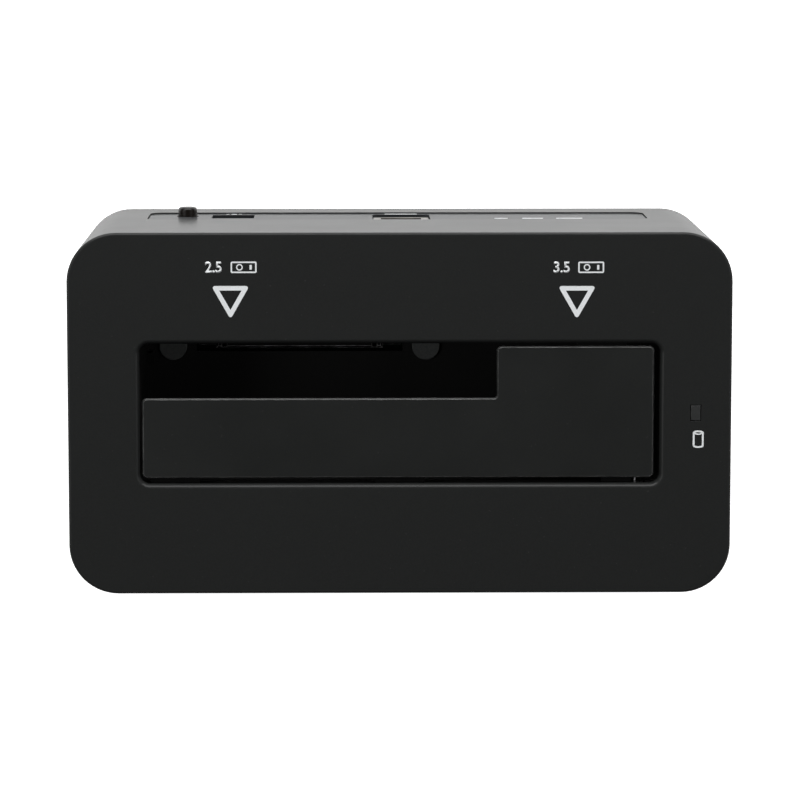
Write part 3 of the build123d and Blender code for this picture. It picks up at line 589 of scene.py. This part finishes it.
def board_finish():
    """Green solder mask over raised tracks."""
    paint = bpy.data.materials.new("board green")
    paint.use_nodes = True
    tree = paint.node_tree
    surface = tree.nodes["Principled BSDF"]
    place = tree.nodes.new("ShaderNodeTexCoord").outputs["Object"]
    tracks = add(
        tree, "ShaderNodeTexBrick",
        {"offset": 0.4, "offset_frequency": 3, "squash": 2.2, "squash_frequency": 2},
        Vector=place, Scale=190.0, Mortar_Size=0.06, Mortar_Smooth=0.1, Brick_Width=1.6, Row_Height=0.25,
        Color1=rgb(0, 0, 0), Color2=rgb(0, 0, 0), Mortar=rgb(1, 1, 1),
    )
    polish = add(
        tree, "ShaderNodeGroup", {"node_tree": gloss_group}, Place=place, Patch=60.0, Low=0.22, High=0.34
    )
    coloured = blend_colours(tree, tracks.outputs["Color"], mask_green, track_green)
    tree.links.new(coloured, surface.inputs["Base Color"])
    tree.links.new(polish.outputs["Roughness"], surface.inputs["Roughness"])
    bump = add(tree, "ShaderNodeBump", Height=tracks.outputs["Color"], Strength=0.5, Distance=track_height)
    tree.links.new(bump.outputs[0], surface.inputs["Normal"])
    return paint


board_green = board_finish()

# %% [markdown]
# ### The light window
#
# The window in the top face is the end of a smoky clear rod.
# Unlit, it is a little lighter and glossier than the case.
# Real transparency would cost render time and show only the dark inside,
# so a dark glossy surface stands for it.

# %% Lens finish
def lens_finish():
    """Dark smoky plastic with a faint cloud and a polished coat."""
    paint = bpy.data.materials.new("smoky lens")
    paint.use_nodes = True
    tree = paint.node_tree
    surface = tree.nodes["Principled BSDF"]
    place = tree.nodes.new("ShaderNodeTexCoord").outputs["Object"]
    cloud = add(tree, "ShaderNodeTexNoise", Vector=place, Scale=900.0, Detail=2.0)
    smoky = blend_colours(tree, cloud.outputs[0], rgb(0.026, 0.027, 0.027), rgb(0.037, 0.038, 0.038))
    tree.links.new(smoky, surface.inputs["Base Color"])
    polish = add(
        tree, "ShaderNodeGroup", {"node_tree": gloss_group}, Place=place, Patch=300.0, Low=0.12, High=0.2
    )
    tree.links.new(polish.outputs["Roughness"], surface.inputs["Roughness"])
    surface.inputs["Coat Weight"].default_value = 0.3
    surface.inputs["Coat Roughness"].default_value = 0.08
    return paint


smoky_lens = lens_finish()
print(len(bpy.data.materials), "finishes in all")

# %% [markdown]
# ## Softer edges for the moulded pieces
#
# No moulded edge is truly sharp, and a thin highlight along it is what makes plastic look solid.
# A CAD mesh is loose triangles with sharp edges, and its own mesh is never edited here.
# So a copy is merged into one skin, its flat triangles are dissolved, and its sharp edges are bevelled.
# The bevel's narrow faces get the edge mark that the finishes read, for wear and for a painted highlight.

# %% Copy a piece with rounded edges
merge_within = 0.001 * mm
flat_within = math.radians(0.5)
sharp_from = math.radians(35)


def free_mesh(piece, shape):
    """A new mesh object from a bmesh, linked into the scene."""
    mesh = bpy.data.meshes.new(piece)
    shape.to_mesh(mesh)
    shape.free()
    made = bpy.data.objects.new(piece, mesh)
    bpy.context.scene.collection.objects.link(made)
    return made


def shade_soft(made, sharp_degrees=40):
    """Smooth shading that keeps the flat faces flat."""
    made.data.shade_smooth()
    made.data.set_sharp_from_angle(angle=math.radians(sharp_degrees))
    weights = made.modifiers.new("flat faces stay flat", "WEIGHTED_NORMAL")
    weights.keep_sharp = True
    weights.weight = 100


def rounded_copy(node, width):
    """Stands for a CAD piece: the same shape, merged, with its sharp edges rounded off."""
    shape = bmesh.new()
    shape.from_mesh(nodes[node].data)
    bmesh.ops.remove_doubles(shape, verts=shape.verts, dist=merge_within)
    bmesh.ops.dissolve_limit(
        shape, angle_limit=flat_within, verts=shape.verts, edges=shape.edges, use_dissolve_boundaries=False
    )
    mark = shape.faces.layers.float.new("edge")
    sharp = [e for e in shape.edges if len(e.link_faces) == 2 and e.calc_face_angle(0) > sharp_from]
    rounded = bmesh.ops.bevel(
        shape, geom=sharp, offset=width, offset_type="OFFSET", segments=2, profile=0.5,
        affect="EDGES", clamp_overlap=True, material=-1,
    )
    for face in rounded["faces"]:
        face[mark] = 1.0
    made = free_mesh(f"{node}_skin", shape)
    shade_soft(made)
    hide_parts(node)
    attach(made, nodes[node]["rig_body"])
    return made


# %% Round off the pieces that show
# How far each piece's sharp edges are cut back, in millimetres.
soft_edges = {
    "upper_shell": 0.12, "slot_flap": 0.1, "rear_panel": 0.12, "bottom_cover": 0.12, "drive_bay": 0.18,
    "light_pipe": 0.06, "sata_housing": 0.08, "usb_shell": 0.12, "usb_tongue": 0.08, "dc_jack_body": 0.1,
    "switch_body": 0.1, "switch_plunger": 0.1,
}
skins = {}
for node, width in soft_edges.items():
    skins[node] = rounded_copy(node, width * mm)
    print(node, len(skins[node].data.polygons), "faces")

# %% [markdown]
# ## Painting every piece
#
# Each node of the record names its material slot. The table below gives each slot its finish,
# and the loop puts it on the CAD piece and on the skin that stands for it.

# %% Give every piece its finish
finish_of_slot = {
    "case_black": case_plastic, "panel_black": panel_plastic, "flap_black": flap_plastic,
    "bay_black": bay_plastic, "button_black": button_plastic, "plug_black": plug_plastic,
    "foot_rubber": foot_rubber, "pad_rubber": pad_rubber, "smoky_lens": smoky_lens,
    "steel": rod_steel, "screw_zinc": screw_zinc, "port_metal": port_metal, "contact_gold": contact_gold,
    "board_green": board_green, "chip_black": chip_plastic, "chip_tan": chip_tan, "can_metal": can_metal,
    "ferrite": ferrite_black, "led_white": lamp_white,
}
slot_of = {part["node"]: part["material_slot"] for part in frame["record"]["subparts"]}


def paint_piece(made, slot, finish=None):
    """Puts one finish on a piece; the slot picks the finish when none is given."""
    made.data.materials.clear()
    made.data.materials.append(finish or finish_of_slot[slot])


for node, slot in slot_of.items():
    paint_piece(nodes[node], slot)
    if node in skins:
        paint_piece(skins[node], slot)
print("painted", len(slot_of), "pieces")

# %% [markdown]
# ## The spring, the rod and the button
#
# The spring's turns, the rod and the button are round, and the engineering model has them in few sides.
# Each is made again with more sides, in the same place and size, and stands for its CAD piece.
# A torsion spring is a wire wound along a line: one small circle is spun round the rod and moved along it
# a little with every step, then both ends are drawn out straight into its legs.

# %% Wind the spring
rod_low, rod_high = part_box("hinge_rod")
axle = (rod_low + rod_high) / 2
spring_low, spring_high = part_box("flap_spring")
# Radius of the wire, radius of the coil at the wire's middle, and the coil's advance in a turn.
wire = 0.18 * mm
coil = 0.9 * mm
coil_pitch = 0.88 * mm
quarter_turns = 13
steps_per_quarter = 8
wire_sides = 14
leg_down = 2.8 * mm
tip_inset, tip_rise = wire * 0.3, wire * 0.15
same_point = 0.0005 * mm


def clean_normals(shape):
    """Merges points that coincide and turns every face outwards."""
    bmesh.ops.remove_doubles(shape, verts=shape.verts, dist=same_point)
    bmesh.ops.recalc_face_normals(shape, faces=shape.faces)


def draw_out(shape, ring, way):
    """Extrudes an open end of the wire and closes it with a slightly rounded tip."""
    tube = bmesh.ops.extrude_edge_only(shape, edges=ring)["geom"]
    bmesh.ops.translate(shape, verts=[v for v in tube if isinstance(v, bmesh.types.BMVert)], vec=way)
    rim = [e for e in tube if isinstance(e, bmesh.types.BMEdge) and e.is_boundary]
    tip = bmesh.ops.holes_fill(shape, edges=rim, sides=0)["faces"]
    bmesh.ops.inset_region(shape, faces=tip, thickness=tip_inset, depth=tip_rise, use_even_offset=True)


def wind_spring():
    """A wound wire with one leg back under the flap and one down in the bay."""
    start_x = spring_low.x + wire
    shape = bmesh.new()
    first = bmesh.ops.create_circle(shape, cap_ends=False, segments=wire_sides, radius=wire)["verts"]
    bmesh.ops.rotate(shape, verts=first, cent=(0, 0, 0), matrix=Matrix.Rotation(math.pi / 2, 3, "X"))
    bmesh.ops.translate(shape, verts=first, vec=(start_x, axle.y, axle.z + coil))
    start_ring = shape.edges[:]
    steps = quarter_turns * steps_per_quarter
    wound = bmesh.ops.spin(
        shape, geom=first + start_ring, cent=(0, axle.y, axle.z), axis=(1, 0, 0),
        dvec=(coil_pitch * quarter_turns / 4 / steps, 0, 0), angle=quarter_turns * math.pi / 2,
        steps=steps, use_merge=False, use_duplicate=False,
    )
    end_ring = [e for e in wound["geom_last"] if isinstance(e, bmesh.types.BMEdge)]
    draw_out(shape, start_ring, (0, spring_high.y - axle.y - wire, 0))
    draw_out(shape, end_ring, (0, 0, -leg_down))
    clean_normals(shape)
    made = free_mesh("closing_spring", shape)
    shade_soft(made, 50)
    paint_piece(made, "steel", spring_steel)
    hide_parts("flap_spring")
    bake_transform(made)
    return made


print("spring", len(wind_spring().data.polygons), "faces")

# %% Turn the hinge rod
rod_radius = 0.5 * mm
rod_rim = 0.15 * mm
rim_from = math.radians(50)


def round_rims(shape, width):
    """Rounds every rim that turns more sharply than the sides do."""
    rims = [e for e in shape.edges if len(e.link_faces) == 2 and e.calc_face_angle(0) > rim_from]
    bmesh.ops.bevel(
        shape, geom=rims, offset=width, offset_type="OFFSET", segments=3, profile=0.5,
        affect="EDGES", clamp_overlap=True, material=-1,
    )


def hinge_bar():
    """A round rod on the hinge's axle, as long as its CAD piece."""
    shape = bmesh.new()
    bmesh.ops.create_cone(
        shape, cap_ends=True, segments=40,
        radius1=rod_radius, radius2=rod_radius, depth=rod_high.x - rod_low.x,
    )
    round_rims(shape, rod_rim)
    bmesh.ops.rotate(shape, verts=shape.verts, cent=(0, 0, 0), matrix=Matrix.Rotation(math.pi / 2, 3, "Y"))
    bmesh.ops.translate(shape, verts=shape.verts, vec=axle)
    clean_normals(shape)
    made = free_mesh("hinge_bar", shape)
    shade_soft(made)
    paint_piece(made, "steel", rod_steel)
    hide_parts("hinge_rod")
    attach(made, "dock")


hinge_bar()
print("rod", round((rod_high.x - rod_low.x) / mm, 1), "mm long")

# %% [markdown]
# ### The power button
#
# The cap is turned like a bottle top: a straight side, a generous round at the rim and a faint crown.
# Half of its cross-section is drawn as a few points and spun a full turn about its own axis.
# Behind the panel it ends in a wide collar, which keeps it from falling out.

# %% Spin the cap
turned_sides = 48


def button_cap():
    """The cap's cross-section, spun about its axis and laid along the press."""
    low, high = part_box("power_button")
    middle = (low + high) / 2
    collar_back = high.y - low.y
    rim, collar, collar_thick = 2.0 * mm, 2.7 * mm, 0.9 * mm
    section = [
        (0.0, 0.0), (0.7 * mm, 0.01 * mm), (1.25 * mm, 0.05 * mm), (1.62 * mm, 0.14 * mm),
        (1.83 * mm, 0.28 * mm), (1.95 * mm, 0.48 * mm), (rim, 0.75 * mm), (rim, collar_back - collar_thick),
        (collar, collar_back - collar_thick), (collar, collar_back), (0.0, collar_back),
    ]
    shape = bmesh.new()
    points = [shape.verts.new((radius, 0, -deep)) for radius, deep in section]
    lines = [shape.edges.new(pair) for pair in zip(points, points[1:])]
    bmesh.ops.spin(
        shape, geom=points + lines, cent=(0, 0, 0), axis=(0, 0, 1), dvec=(0, 0, 0), angle=2 * math.pi,
        steps=turned_sides, use_merge=True, use_duplicate=False,
    )
    bmesh.ops.rotate(shape, verts=shape.verts, cent=(0, 0, 0), matrix=Matrix.Rotation(-math.pi / 2, 3, "X"))
    bmesh.ops.translate(shape, verts=shape.verts, vec=(middle.x, high.y, middle.z))
    clean_normals(shape)
    made = free_mesh("button_cap", shape)
    shade_soft(made, 50)
    paint_piece(made, "button_black", button_plastic)
    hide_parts("power_button")
    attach(made, "button")
    return made


print("button", len(button_cap().data.polygons), "faces")

# %% [markdown]
# ## Feet and pads
#
# Four rubber feet stick to the bottom cover, and two soft pads in the bay floor cushion a drive.
# Both are short round discs with rounded rims.
# A foot also has a shallow dish below, so it grips the table by its rim.

# %% Press the discs
dish_from_rim = 0.3
dish_slope = 0.08


def disc(piece, node, slot, finish, top_radius, foot_radius, rim, dish=0.0):
    """A short round disc with rounded rims, and a dish in its lower face if one is wanted."""
    low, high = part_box(node)
    middle = (low + high) / 2
    shape = bmesh.new()
    bmesh.ops.create_cone(
        shape, cap_ends=True, segments=turned_sides,
        radius1=foot_radius, radius2=top_radius, depth=high.z - low.z,
    )
    round_rims(shape, rim)
    if dish:
        lowest = [min(shape.faces, key=lambda face: face.calc_center_median().z)]
        bmesh.ops.inset_region(shape, faces=lowest, thickness=foot_radius * dish_from_rim)
        bmesh.ops.inset_region(shape, faces=lowest, thickness=foot_radius * dish_slope, depth=-dish)
    bmesh.ops.translate(shape, verts=shape.verts, vec=middle)
    clean_normals(shape)
    made = free_mesh(piece, shape)
    shade_soft(made)
    paint_piece(made, slot, finish)
    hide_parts(node)
    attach(made, "dock")


foot_top, foot_bottom, foot_rim, foot_dish = 4.3 * mm, 4.0 * mm, 0.25 * mm, 0.35 * mm
pad_rim = 0.2 * mm
for i in range(1, 5):
    disc(
        f"foot_{i}", f"rubber_foot_{i}", "foot_rubber", foot_rubber,
        foot_top, foot_bottom, foot_rim, foot_dish,
    )
for i in range(1, 3):
    pad_low, pad_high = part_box(f"shock_pad_{i}")
    pad = (pad_high.x - pad_low.x) / 2
    disc(f"pad_{i}", f"shock_pad_{i}", "pad_rubber", pad_rubber, pad, pad, pad_rim)
print("feet", round(2 * foot_top / mm, 1), "mm across, pads", round(2 * pad / mm, 1), "mm")

# %% [markdown]
# ## Screws
#
# Every screw has a cross-shaped recess, which the plain round head in the CAD model lacks.
# The cross outline is joined to the head's rim by a bridge of faces, then drawn inwards and tapered.
# The shank is plain, as the thread is hidden in its boss.

# %% Cut the cross recess
# Shares of the head's radius: its flat top, and the reach and half width of the cross.
flat_top, cross_reach, cross_half = 0.86, 0.55, 0.13
# The recess's depth as a share of the head's height, and how far its floor narrows.
pit_deep, pit_narrows = 0.6, 0.6


def cross_outline(shape, arm, half):
    """Twelve corners of a cross of a given reach and half width, as a closed loop of edges."""
    corners = []
    for turn in range(4):
        for x, y in ((arm, -half), (arm, half), (half, half)):
            spun = Matrix.Rotation(turn * math.pi / 2, 3, "Z") @ Vector((x, y, 0))
            corners.append(shape.verts.new(spun))
    return [shape.edges.new((corners[i - 1], corners[i])) for i in range(12)]


def cross_screw(piece, node, head, head_high, shank, recess_up):
    """A pan head screw that stands for a CAD screw, with its recess facing up or down."""
    low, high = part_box(node)
    middle = (low + high) / 2
    shape = bmesh.new()
    bmesh.ops.create_circle(shape, cap_ends=False, segments=36, radius=head * flat_top)
    ring = shape.edges[:]
    cross = cross_outline(shape, head * cross_reach, head * cross_half)
    bmesh.ops.bridge_loops(shape, edges=ring + cross)
    pit = bmesh.ops.extrude_edge_only(shape, edges=cross)["geom"]
    pit_corners = [v for v in pit if isinstance(v, bmesh.types.BMVert)]
    bmesh.ops.translate(shape, verts=pit_corners, vec=(0, 0, -head_high * pit_deep))
    bmesh.ops.scale(shape, verts=pit_corners, vec=(pit_narrows, pit_narrows, 1))
    pit_rim = [e for e in pit if isinstance(e, bmesh.types.BMEdge) and e.is_boundary]
    bmesh.ops.holes_fill(shape, edges=pit_rim, sides=0)
    # Each ring's radius, and how far below the head's top it lies, in head heights.
    tip = (high.z - low.z) / head_high
    for radius, drop in ((head * 0.95, 0.1), (head, 0.35), (head, 1.0), (shank, 1.0), (shank, tip)):
        grown = bmesh.ops.extrude_edge_only(shape, edges=ring)["geom"]
        corners = [v for v in grown if isinstance(v, bmesh.types.BMVert)]
        ring = [e for e in grown if isinstance(e, bmesh.types.BMEdge) and e.is_boundary]
        now = corners[0].co.xy.length
        bmesh.ops.scale(shape, verts=corners, vec=(radius / now, radius / now, 1))
        bmesh.ops.translate(shape, verts=corners, vec=(0, 0, -drop * head_high - corners[0].co.z))
    bmesh.ops.holes_fill(shape, edges=ring, sides=0)
    if not recess_up:
        bmesh.ops.rotate(shape, verts=shape.verts, cent=(0, 0, 0), matrix=Matrix.Rotation(math.pi, 3, "X"))
    bmesh.ops.translate(shape, verts=shape.verts, vec=(middle.x, middle.y, high.z if recess_up else low.z))
    clean_normals(shape)
    made = free_mesh(piece, shape)
    shade_soft(made, 30)
    paint_piece(made, "screw_zinc", screw_zinc)
    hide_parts(node)
    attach(made, "dock")


# Radius of the head, its height and the radius of the shank in mm, and whether the recess faces up.
screw_kinds = {
    "case": (2.4, 1.5, 0.95, False),
    "bay": (2.2, 1.4, 0.8, False),
    "board": (2.0, 1.2, 0.9, True),
}
for i in range(1, 5):
    for kind, (head, head_high, shank, up) in screw_kinds.items():
        cross_screw(f"cross_{kind}_screw_{i}", f"{kind}_screw_{i}", head * mm, head_high * mm, shank * mm, up)
print(4 * len(screw_kinds), "screws")

# %% [markdown]
# ## Printed marks
#
# The marks on the top face are screen printed: a skin of white ink a few hundredths of a millimetre thick.
# They say which side takes which drive, which way a drive goes in, and where the activity light is.
# An image could carry them, but real thin shapes stay crisp at any distance.
# Text starts as a curve. It becomes a mesh before it is moved, so its place ends up in the mesh.

# %% Print numbers
ink_thick = 0.02 * mm
ink_merge = 0.002 * mm


def printed(piece, shape):
    """Ink on the case."""
    made = free_mesh(piece, shape)
    paint_piece(made, "case_black", ink)
    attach(made, "dock")


def raise_ink(shape):
    """Gives a flat outline the ink's thickness, upwards."""
    bmesh.ops.remove_doubles(shape, verts=shape.verts, dist=ink_merge)
    bmesh.ops.dissolve_degenerate(shape, edges=shape.edges, dist=ink_merge)
    grown = bmesh.ops.extrude_face_region(shape, geom=shape.faces[:])["geom"]
    top = [v for v in grown if isinstance(v, bmesh.types.BMVert)]
    bmesh.ops.translate(shape, verts=top, vec=(0, 0, ink_thick))
    bmesh.ops.recalc_face_normals(shape, faces=shape.faces)


bolder = 0.024
narrower = 0.92


def print_number(piece, words, x, y, high):
    """Plain numerals of a given height, centred on a point of the top face."""
    curve = bpy.data.curves.new(piece, "FONT")
    curve.body = words
    curve.align_x = "CENTER"
    curve.offset = bolder
    text = bpy.data.objects.new(piece, curve)
    mesh = bpy.data.meshes.new_from_object(text)
    shape = bmesh.new()
    shape.from_mesh(mesh)
    bpy.data.objects.remove(text)
    bpy.data.curves.remove(curve)
    bpy.data.meshes.remove(mesh)
    lowest = min(v.co.y for v in shape.verts)
    tall = max(v.co.y for v in shape.verts) - lowest
    scale = high / tall
    bmesh.ops.translate(shape, verts=shape.verts, vec=(0, -lowest - tall / 2, 0))
    bmesh.ops.scale(shape, verts=shape.verts, vec=(scale * narrower, scale, 1))
    bmesh.ops.translate(shape, verts=shape.verts, vec=(x, y, case_top))
    raise_ink(shape)
    printed(piece, shape)


def picture_to_top(column, row):
    """The point of the top face that a pixel of the picture looks at."""
    across = (column - picture_width / 2) / (pixels_per_metre * camera_distance)
    up = (picture_width / 2 - row) / (pixels_per_metre * camera_distance)
    ray = rightwards * across + upwards * up - backwards
    return camera.location + ray * ((case_top - camera.location.z) / ray.z)


digit_high = 2.3 * mm
digit_row = 267.2
for piece, words, column in (("print_small_size", "2.5", 213.5), ("print_large_size", "3.5", 561.7)):
    spot = picture_to_top(column, digit_row)
    print_number(piece, words, spot.x, spot.y, digit_high)
    print(piece, [round(x / mm, 2) for x in spot])

# %% [markdown]
# ### Flat signs
#
# The other marks are outlines of even width: a triangle that points to the slot below each number,
# a little picture of a drive beside each number, and a can of disks beside the light.
# Most start as a filled outline. An inset by the line's width leaves a ring once its middle is taken out.
# At a sharp corner an inset would fold over, so the triangle is filled between an outer and an inner outline.

# %% Rings of ink
def ring_of(shape, width):
    """Leaves only a border of a given width of a flat outline."""
    bmesh.ops.inset_region(
        shape, faces=shape.faces[:], thickness=width, use_even_offset=True, use_boundary=True
    )
    middle = max(shape.faces, key=lambda face: face.calc_area())
    bmesh.ops.delete(shape, geom=[middle], context="FACES")


def put_at(shape, spot):
    """Moves a flat sign from the origin to its place on the top face."""
    bmesh.ops.translate(shape, verts=shape.verts, vec=spot)


def print_triangle(piece, spot, wide, high, line):
    """An outlined triangle that points to the front, with rounded outer corners."""
    inside = wide * high / (wide + 2 * math.hypot(wide / 2, high))
    shape = bmesh.new()
    for side in (line / 2, -line / 2):
        grown = 1 + side / inside
        corners = [
            shape.verts.new((x * grown, y * grown, 0))
            for x, y in ((-wide / 2, inside), (0, inside - high), (wide / 2, inside))
        ]
        shape.faces.new(corners)
        if side > 0:
            bmesh.ops.bevel(
                shape, geom=corners, offset=side / math.tan(math.radians(30)), offset_type="OFFSET",
                segments=5, profile=0.5, affect="VERTICES", material=-1,
            )
    bmesh.ops.delete(shape, geom=shape.faces[:], context="FACES_ONLY")
    bmesh.ops.triangle_fill(shape, edges=shape.edges[:], use_beauty=True)
    put_at(shape, spot)
    raise_ink(shape)
    printed(piece, shape)


arrow_row = 297.0
arrow_wide, arrow_high, arrow_line = 6.04 * mm, 5.3 * mm, 0.92 * mm
for piece, column in (("print_small_arrow", 230.4), ("print_large_arrow", 577.0)):
    print_triangle(piece, picture_to_top(column, arrow_row), arrow_wide, arrow_high, arrow_line)
print("arrows", round(arrow_wide / mm, 2), "mm wide")

# %% A small picture of a drive
def rounded_plate(wide, high, corner):
    """A flat rectangle with round corners, centred on the origin."""
    shape = bmesh.new()
    bmesh.ops.create_grid(shape, x_segments=1, y_segments=1, size=0.5)
    bmesh.ops.scale(shape, verts=shape.verts, vec=(wide, high, 1))
    bmesh.ops.bevel(
        shape, geom=shape.verts[:], offset=corner, offset_type="OFFSET", segments=4, profile=0.5,
        affect="VERTICES", material=-1,
    )
    return shape


def print_drive(piece, spot, wide, high, line):
    """The outline of a drive as seen from above, with its disk and its connector."""
    corner = high / 7
    disk_radius, disk_left = high * 0.29, wide * 0.16
    tab_wide, tab_high, tab_right = wide * 0.09, high * 0.42, wide * 0.27
    shape = rounded_plate(wide, high, corner)
    ring_of(shape, line)
    put_at(shape, spot)
    raise_ink(shape)
    printed(f"{piece}_case", shape)
    disk = bmesh.new()
    bmesh.ops.create_circle(disk, cap_ends=True, segments=32, radius=disk_radius)
    ring_of(disk, line * 0.8)
    put_at(disk, spot - Vector((disk_left, 0, 0)))
    raise_ink(disk)
    printed(f"{piece}_disk", disk)
    tab = rounded_plate(tab_wide, tab_high, line * 0.3)
    put_at(tab, spot + Vector((tab_right, 0, 0)))
    raise_ink(tab)
    printed(f"{piece}_tab", tab)


drive_row = 267.3
drive_wide, drive_high, drive_line = 5.2 * mm, 2.3 * mm, 0.3 * mm
for piece, column in (("print_small_drive", 243.6), ("print_large_drive", 591.2)):
    print_drive(piece, picture_to_top(column, drive_row), drive_wide, drive_high, drive_line)
print("drive pictures", round(drive_wide / mm, 2), "mm wide")

# %% The can of disks beside the light
can_sides = 40


def print_can(piece, spot, wide, high, line):
    """A disk stack as a short can: its outline, and the rim of its lid."""
    oval = wide * 0.2
    body = high / 2 - oval
    lid_outside = (wide / 2 - line * 0.5, oval)
    lid_inside = (wide / 2 - line * 1.5, oval * 0.45)
    just_sunk = -0.1 * ink_thick
    shape = bmesh.new()
    bmesh.ops.create_circle(shape, cap_ends=True, segments=can_sides, radius=wide / 2)
    half_side = Matrix.Rotation(math.pi / can_sides, 3, "Z")
    bmesh.ops.rotate(shape, verts=shape.verts, cent=(0, 0, 0), matrix=half_side)
    bmesh.ops.scale(shape, verts=shape.verts, vec=(1, 2 * oval / wide, 1))
    for corner in shape.verts:
        corner.co.y += math.copysign(body, corner.co.y)
    ring_of(shape, line)
    put_at(shape, spot)
    raise_ink(shape)
    printed(f"{piece}_outline", shape)
    lid = bmesh.new()
    for reach, rise in (lid_outside, lid_inside):
        rim = bmesh.ops.create_circle(lid, cap_ends=False, segments=can_sides, radius=reach)["verts"]
        bmesh.ops.scale(lid, verts=rim, vec=(1, rise / reach, 1))
    bmesh.ops.bridge_loops(lid, edges=lid.edges[:])
    halves = lid.verts[:] + lid.edges[:] + lid.faces[:]
    bmesh.ops.bisect_plane(lid, geom=halves, plane_co=(0, 0, 0), plane_no=(0, 1, 0), clear_outer=True)
    put_at(lid, spot + Vector((0, body, just_sunk)))
    raise_ink(lid)
    printed(f"{piece}_lid", lid)


can_at = picture_to_top(698.2, 439.2)
can_wide, can_high, can_line = 2.2 * mm, 3.55 * mm, 0.36 * mm
print_can("print_activity", can_at, can_wide, can_high, can_line)
print("can", [round(x / mm, 2) for x in can_at])

# %% [markdown]
# ### Signs on the port side
#
# Below the inlet stands the usual sign for a plug's middle pin: a dot in a ring between a minus and a plus.
# Short plain bars fill the place under the data port and the row beside it.
# All are printed flat in the same way, then stood up against the panel, so they read upright from behind.

# %% Print the port side
def stand_on_panel(piece, shape, x, z):
    """Thickens a flat sign and stands it against the rear panel's outer face."""
    raise_ink(shape)
    upright = Matrix.Rotation(math.pi, 3, "Z") @ Matrix.Rotation(math.pi / 2, 3, "X")
    bmesh.ops.rotate(shape, verts=shape.verts, cent=(0, 0, 0), matrix=upright)
    bmesh.ops.translate(shape, verts=shape.verts, vec=(x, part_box("rear_panel")[1].y, z))
    printed(piece, shape)


def middle_of(node):
    """The middle of a CAD piece's box."""
    low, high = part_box(node)
    return (low + high) / 2


def dash(wide, high, aside=0.0):
    """A short bar with round corners, moved sideways."""
    shape = rounded_plate(wide, high, min(wide, high) * 0.3)
    put_at(shape, Vector((aside, 0, 0)))
    return shape


jack_at, usb_at = middle_of("dc_jack_body"), middle_of("usb_shell")
sign_z = 13.3 * mm
ring_radius, ring_line = 0.62 * mm, 0.2 * mm
ring = bmesh.new()
bmesh.ops.create_circle(ring, cap_ends=True, segments=32, radius=ring_radius)
ring_of(ring, ring_line)
stand_on_panel("sign_inlet_ring", ring, jack_at.x, sign_z)
# Width, height and distance to the side of each bar, in millimetres.
inlet_bars = {
    "dot": (0.4, 0.4, 0.0), "minus": (0.7, 0.22, -1.3),
    "plus_flat": (0.8, 0.22, 1.3), "plus_tall": (0.22, 0.8, 1.3),
}
for part, (wide, high, aside) in inlet_bars.items():
    stand_on_panel(f"sign_inlet_{part}", dash(wide * mm, high * mm, aside * mm), jack_at.x, sign_z)
stand_on_panel("sign_data_bar", dash(6.8 * mm, 0.8 * mm), usb_at.x, sign_z)
row_z, row_high = 24.4 * mm, 0.9 * mm
for i, (x, wide) in enumerate(((21.7, 2.8), (28.3, 4.4), (36.0, 5.5)), 1):
    stand_on_panel(f"sign_bar_{i}", dash(wide * mm, row_high), x * mm, row_z)
print("signs", round(sign_z / mm, 1), "mm up, bars", round(row_z / mm, 1), "mm up")

# %% [markdown]
# ## Print the size
#
# The dressed dock must stay as large as the engineering model, so the size of its box is printed.

# %% Size
low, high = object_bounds()
print("visual size", [round(x / mm, 2) for x in high - low], "mm")
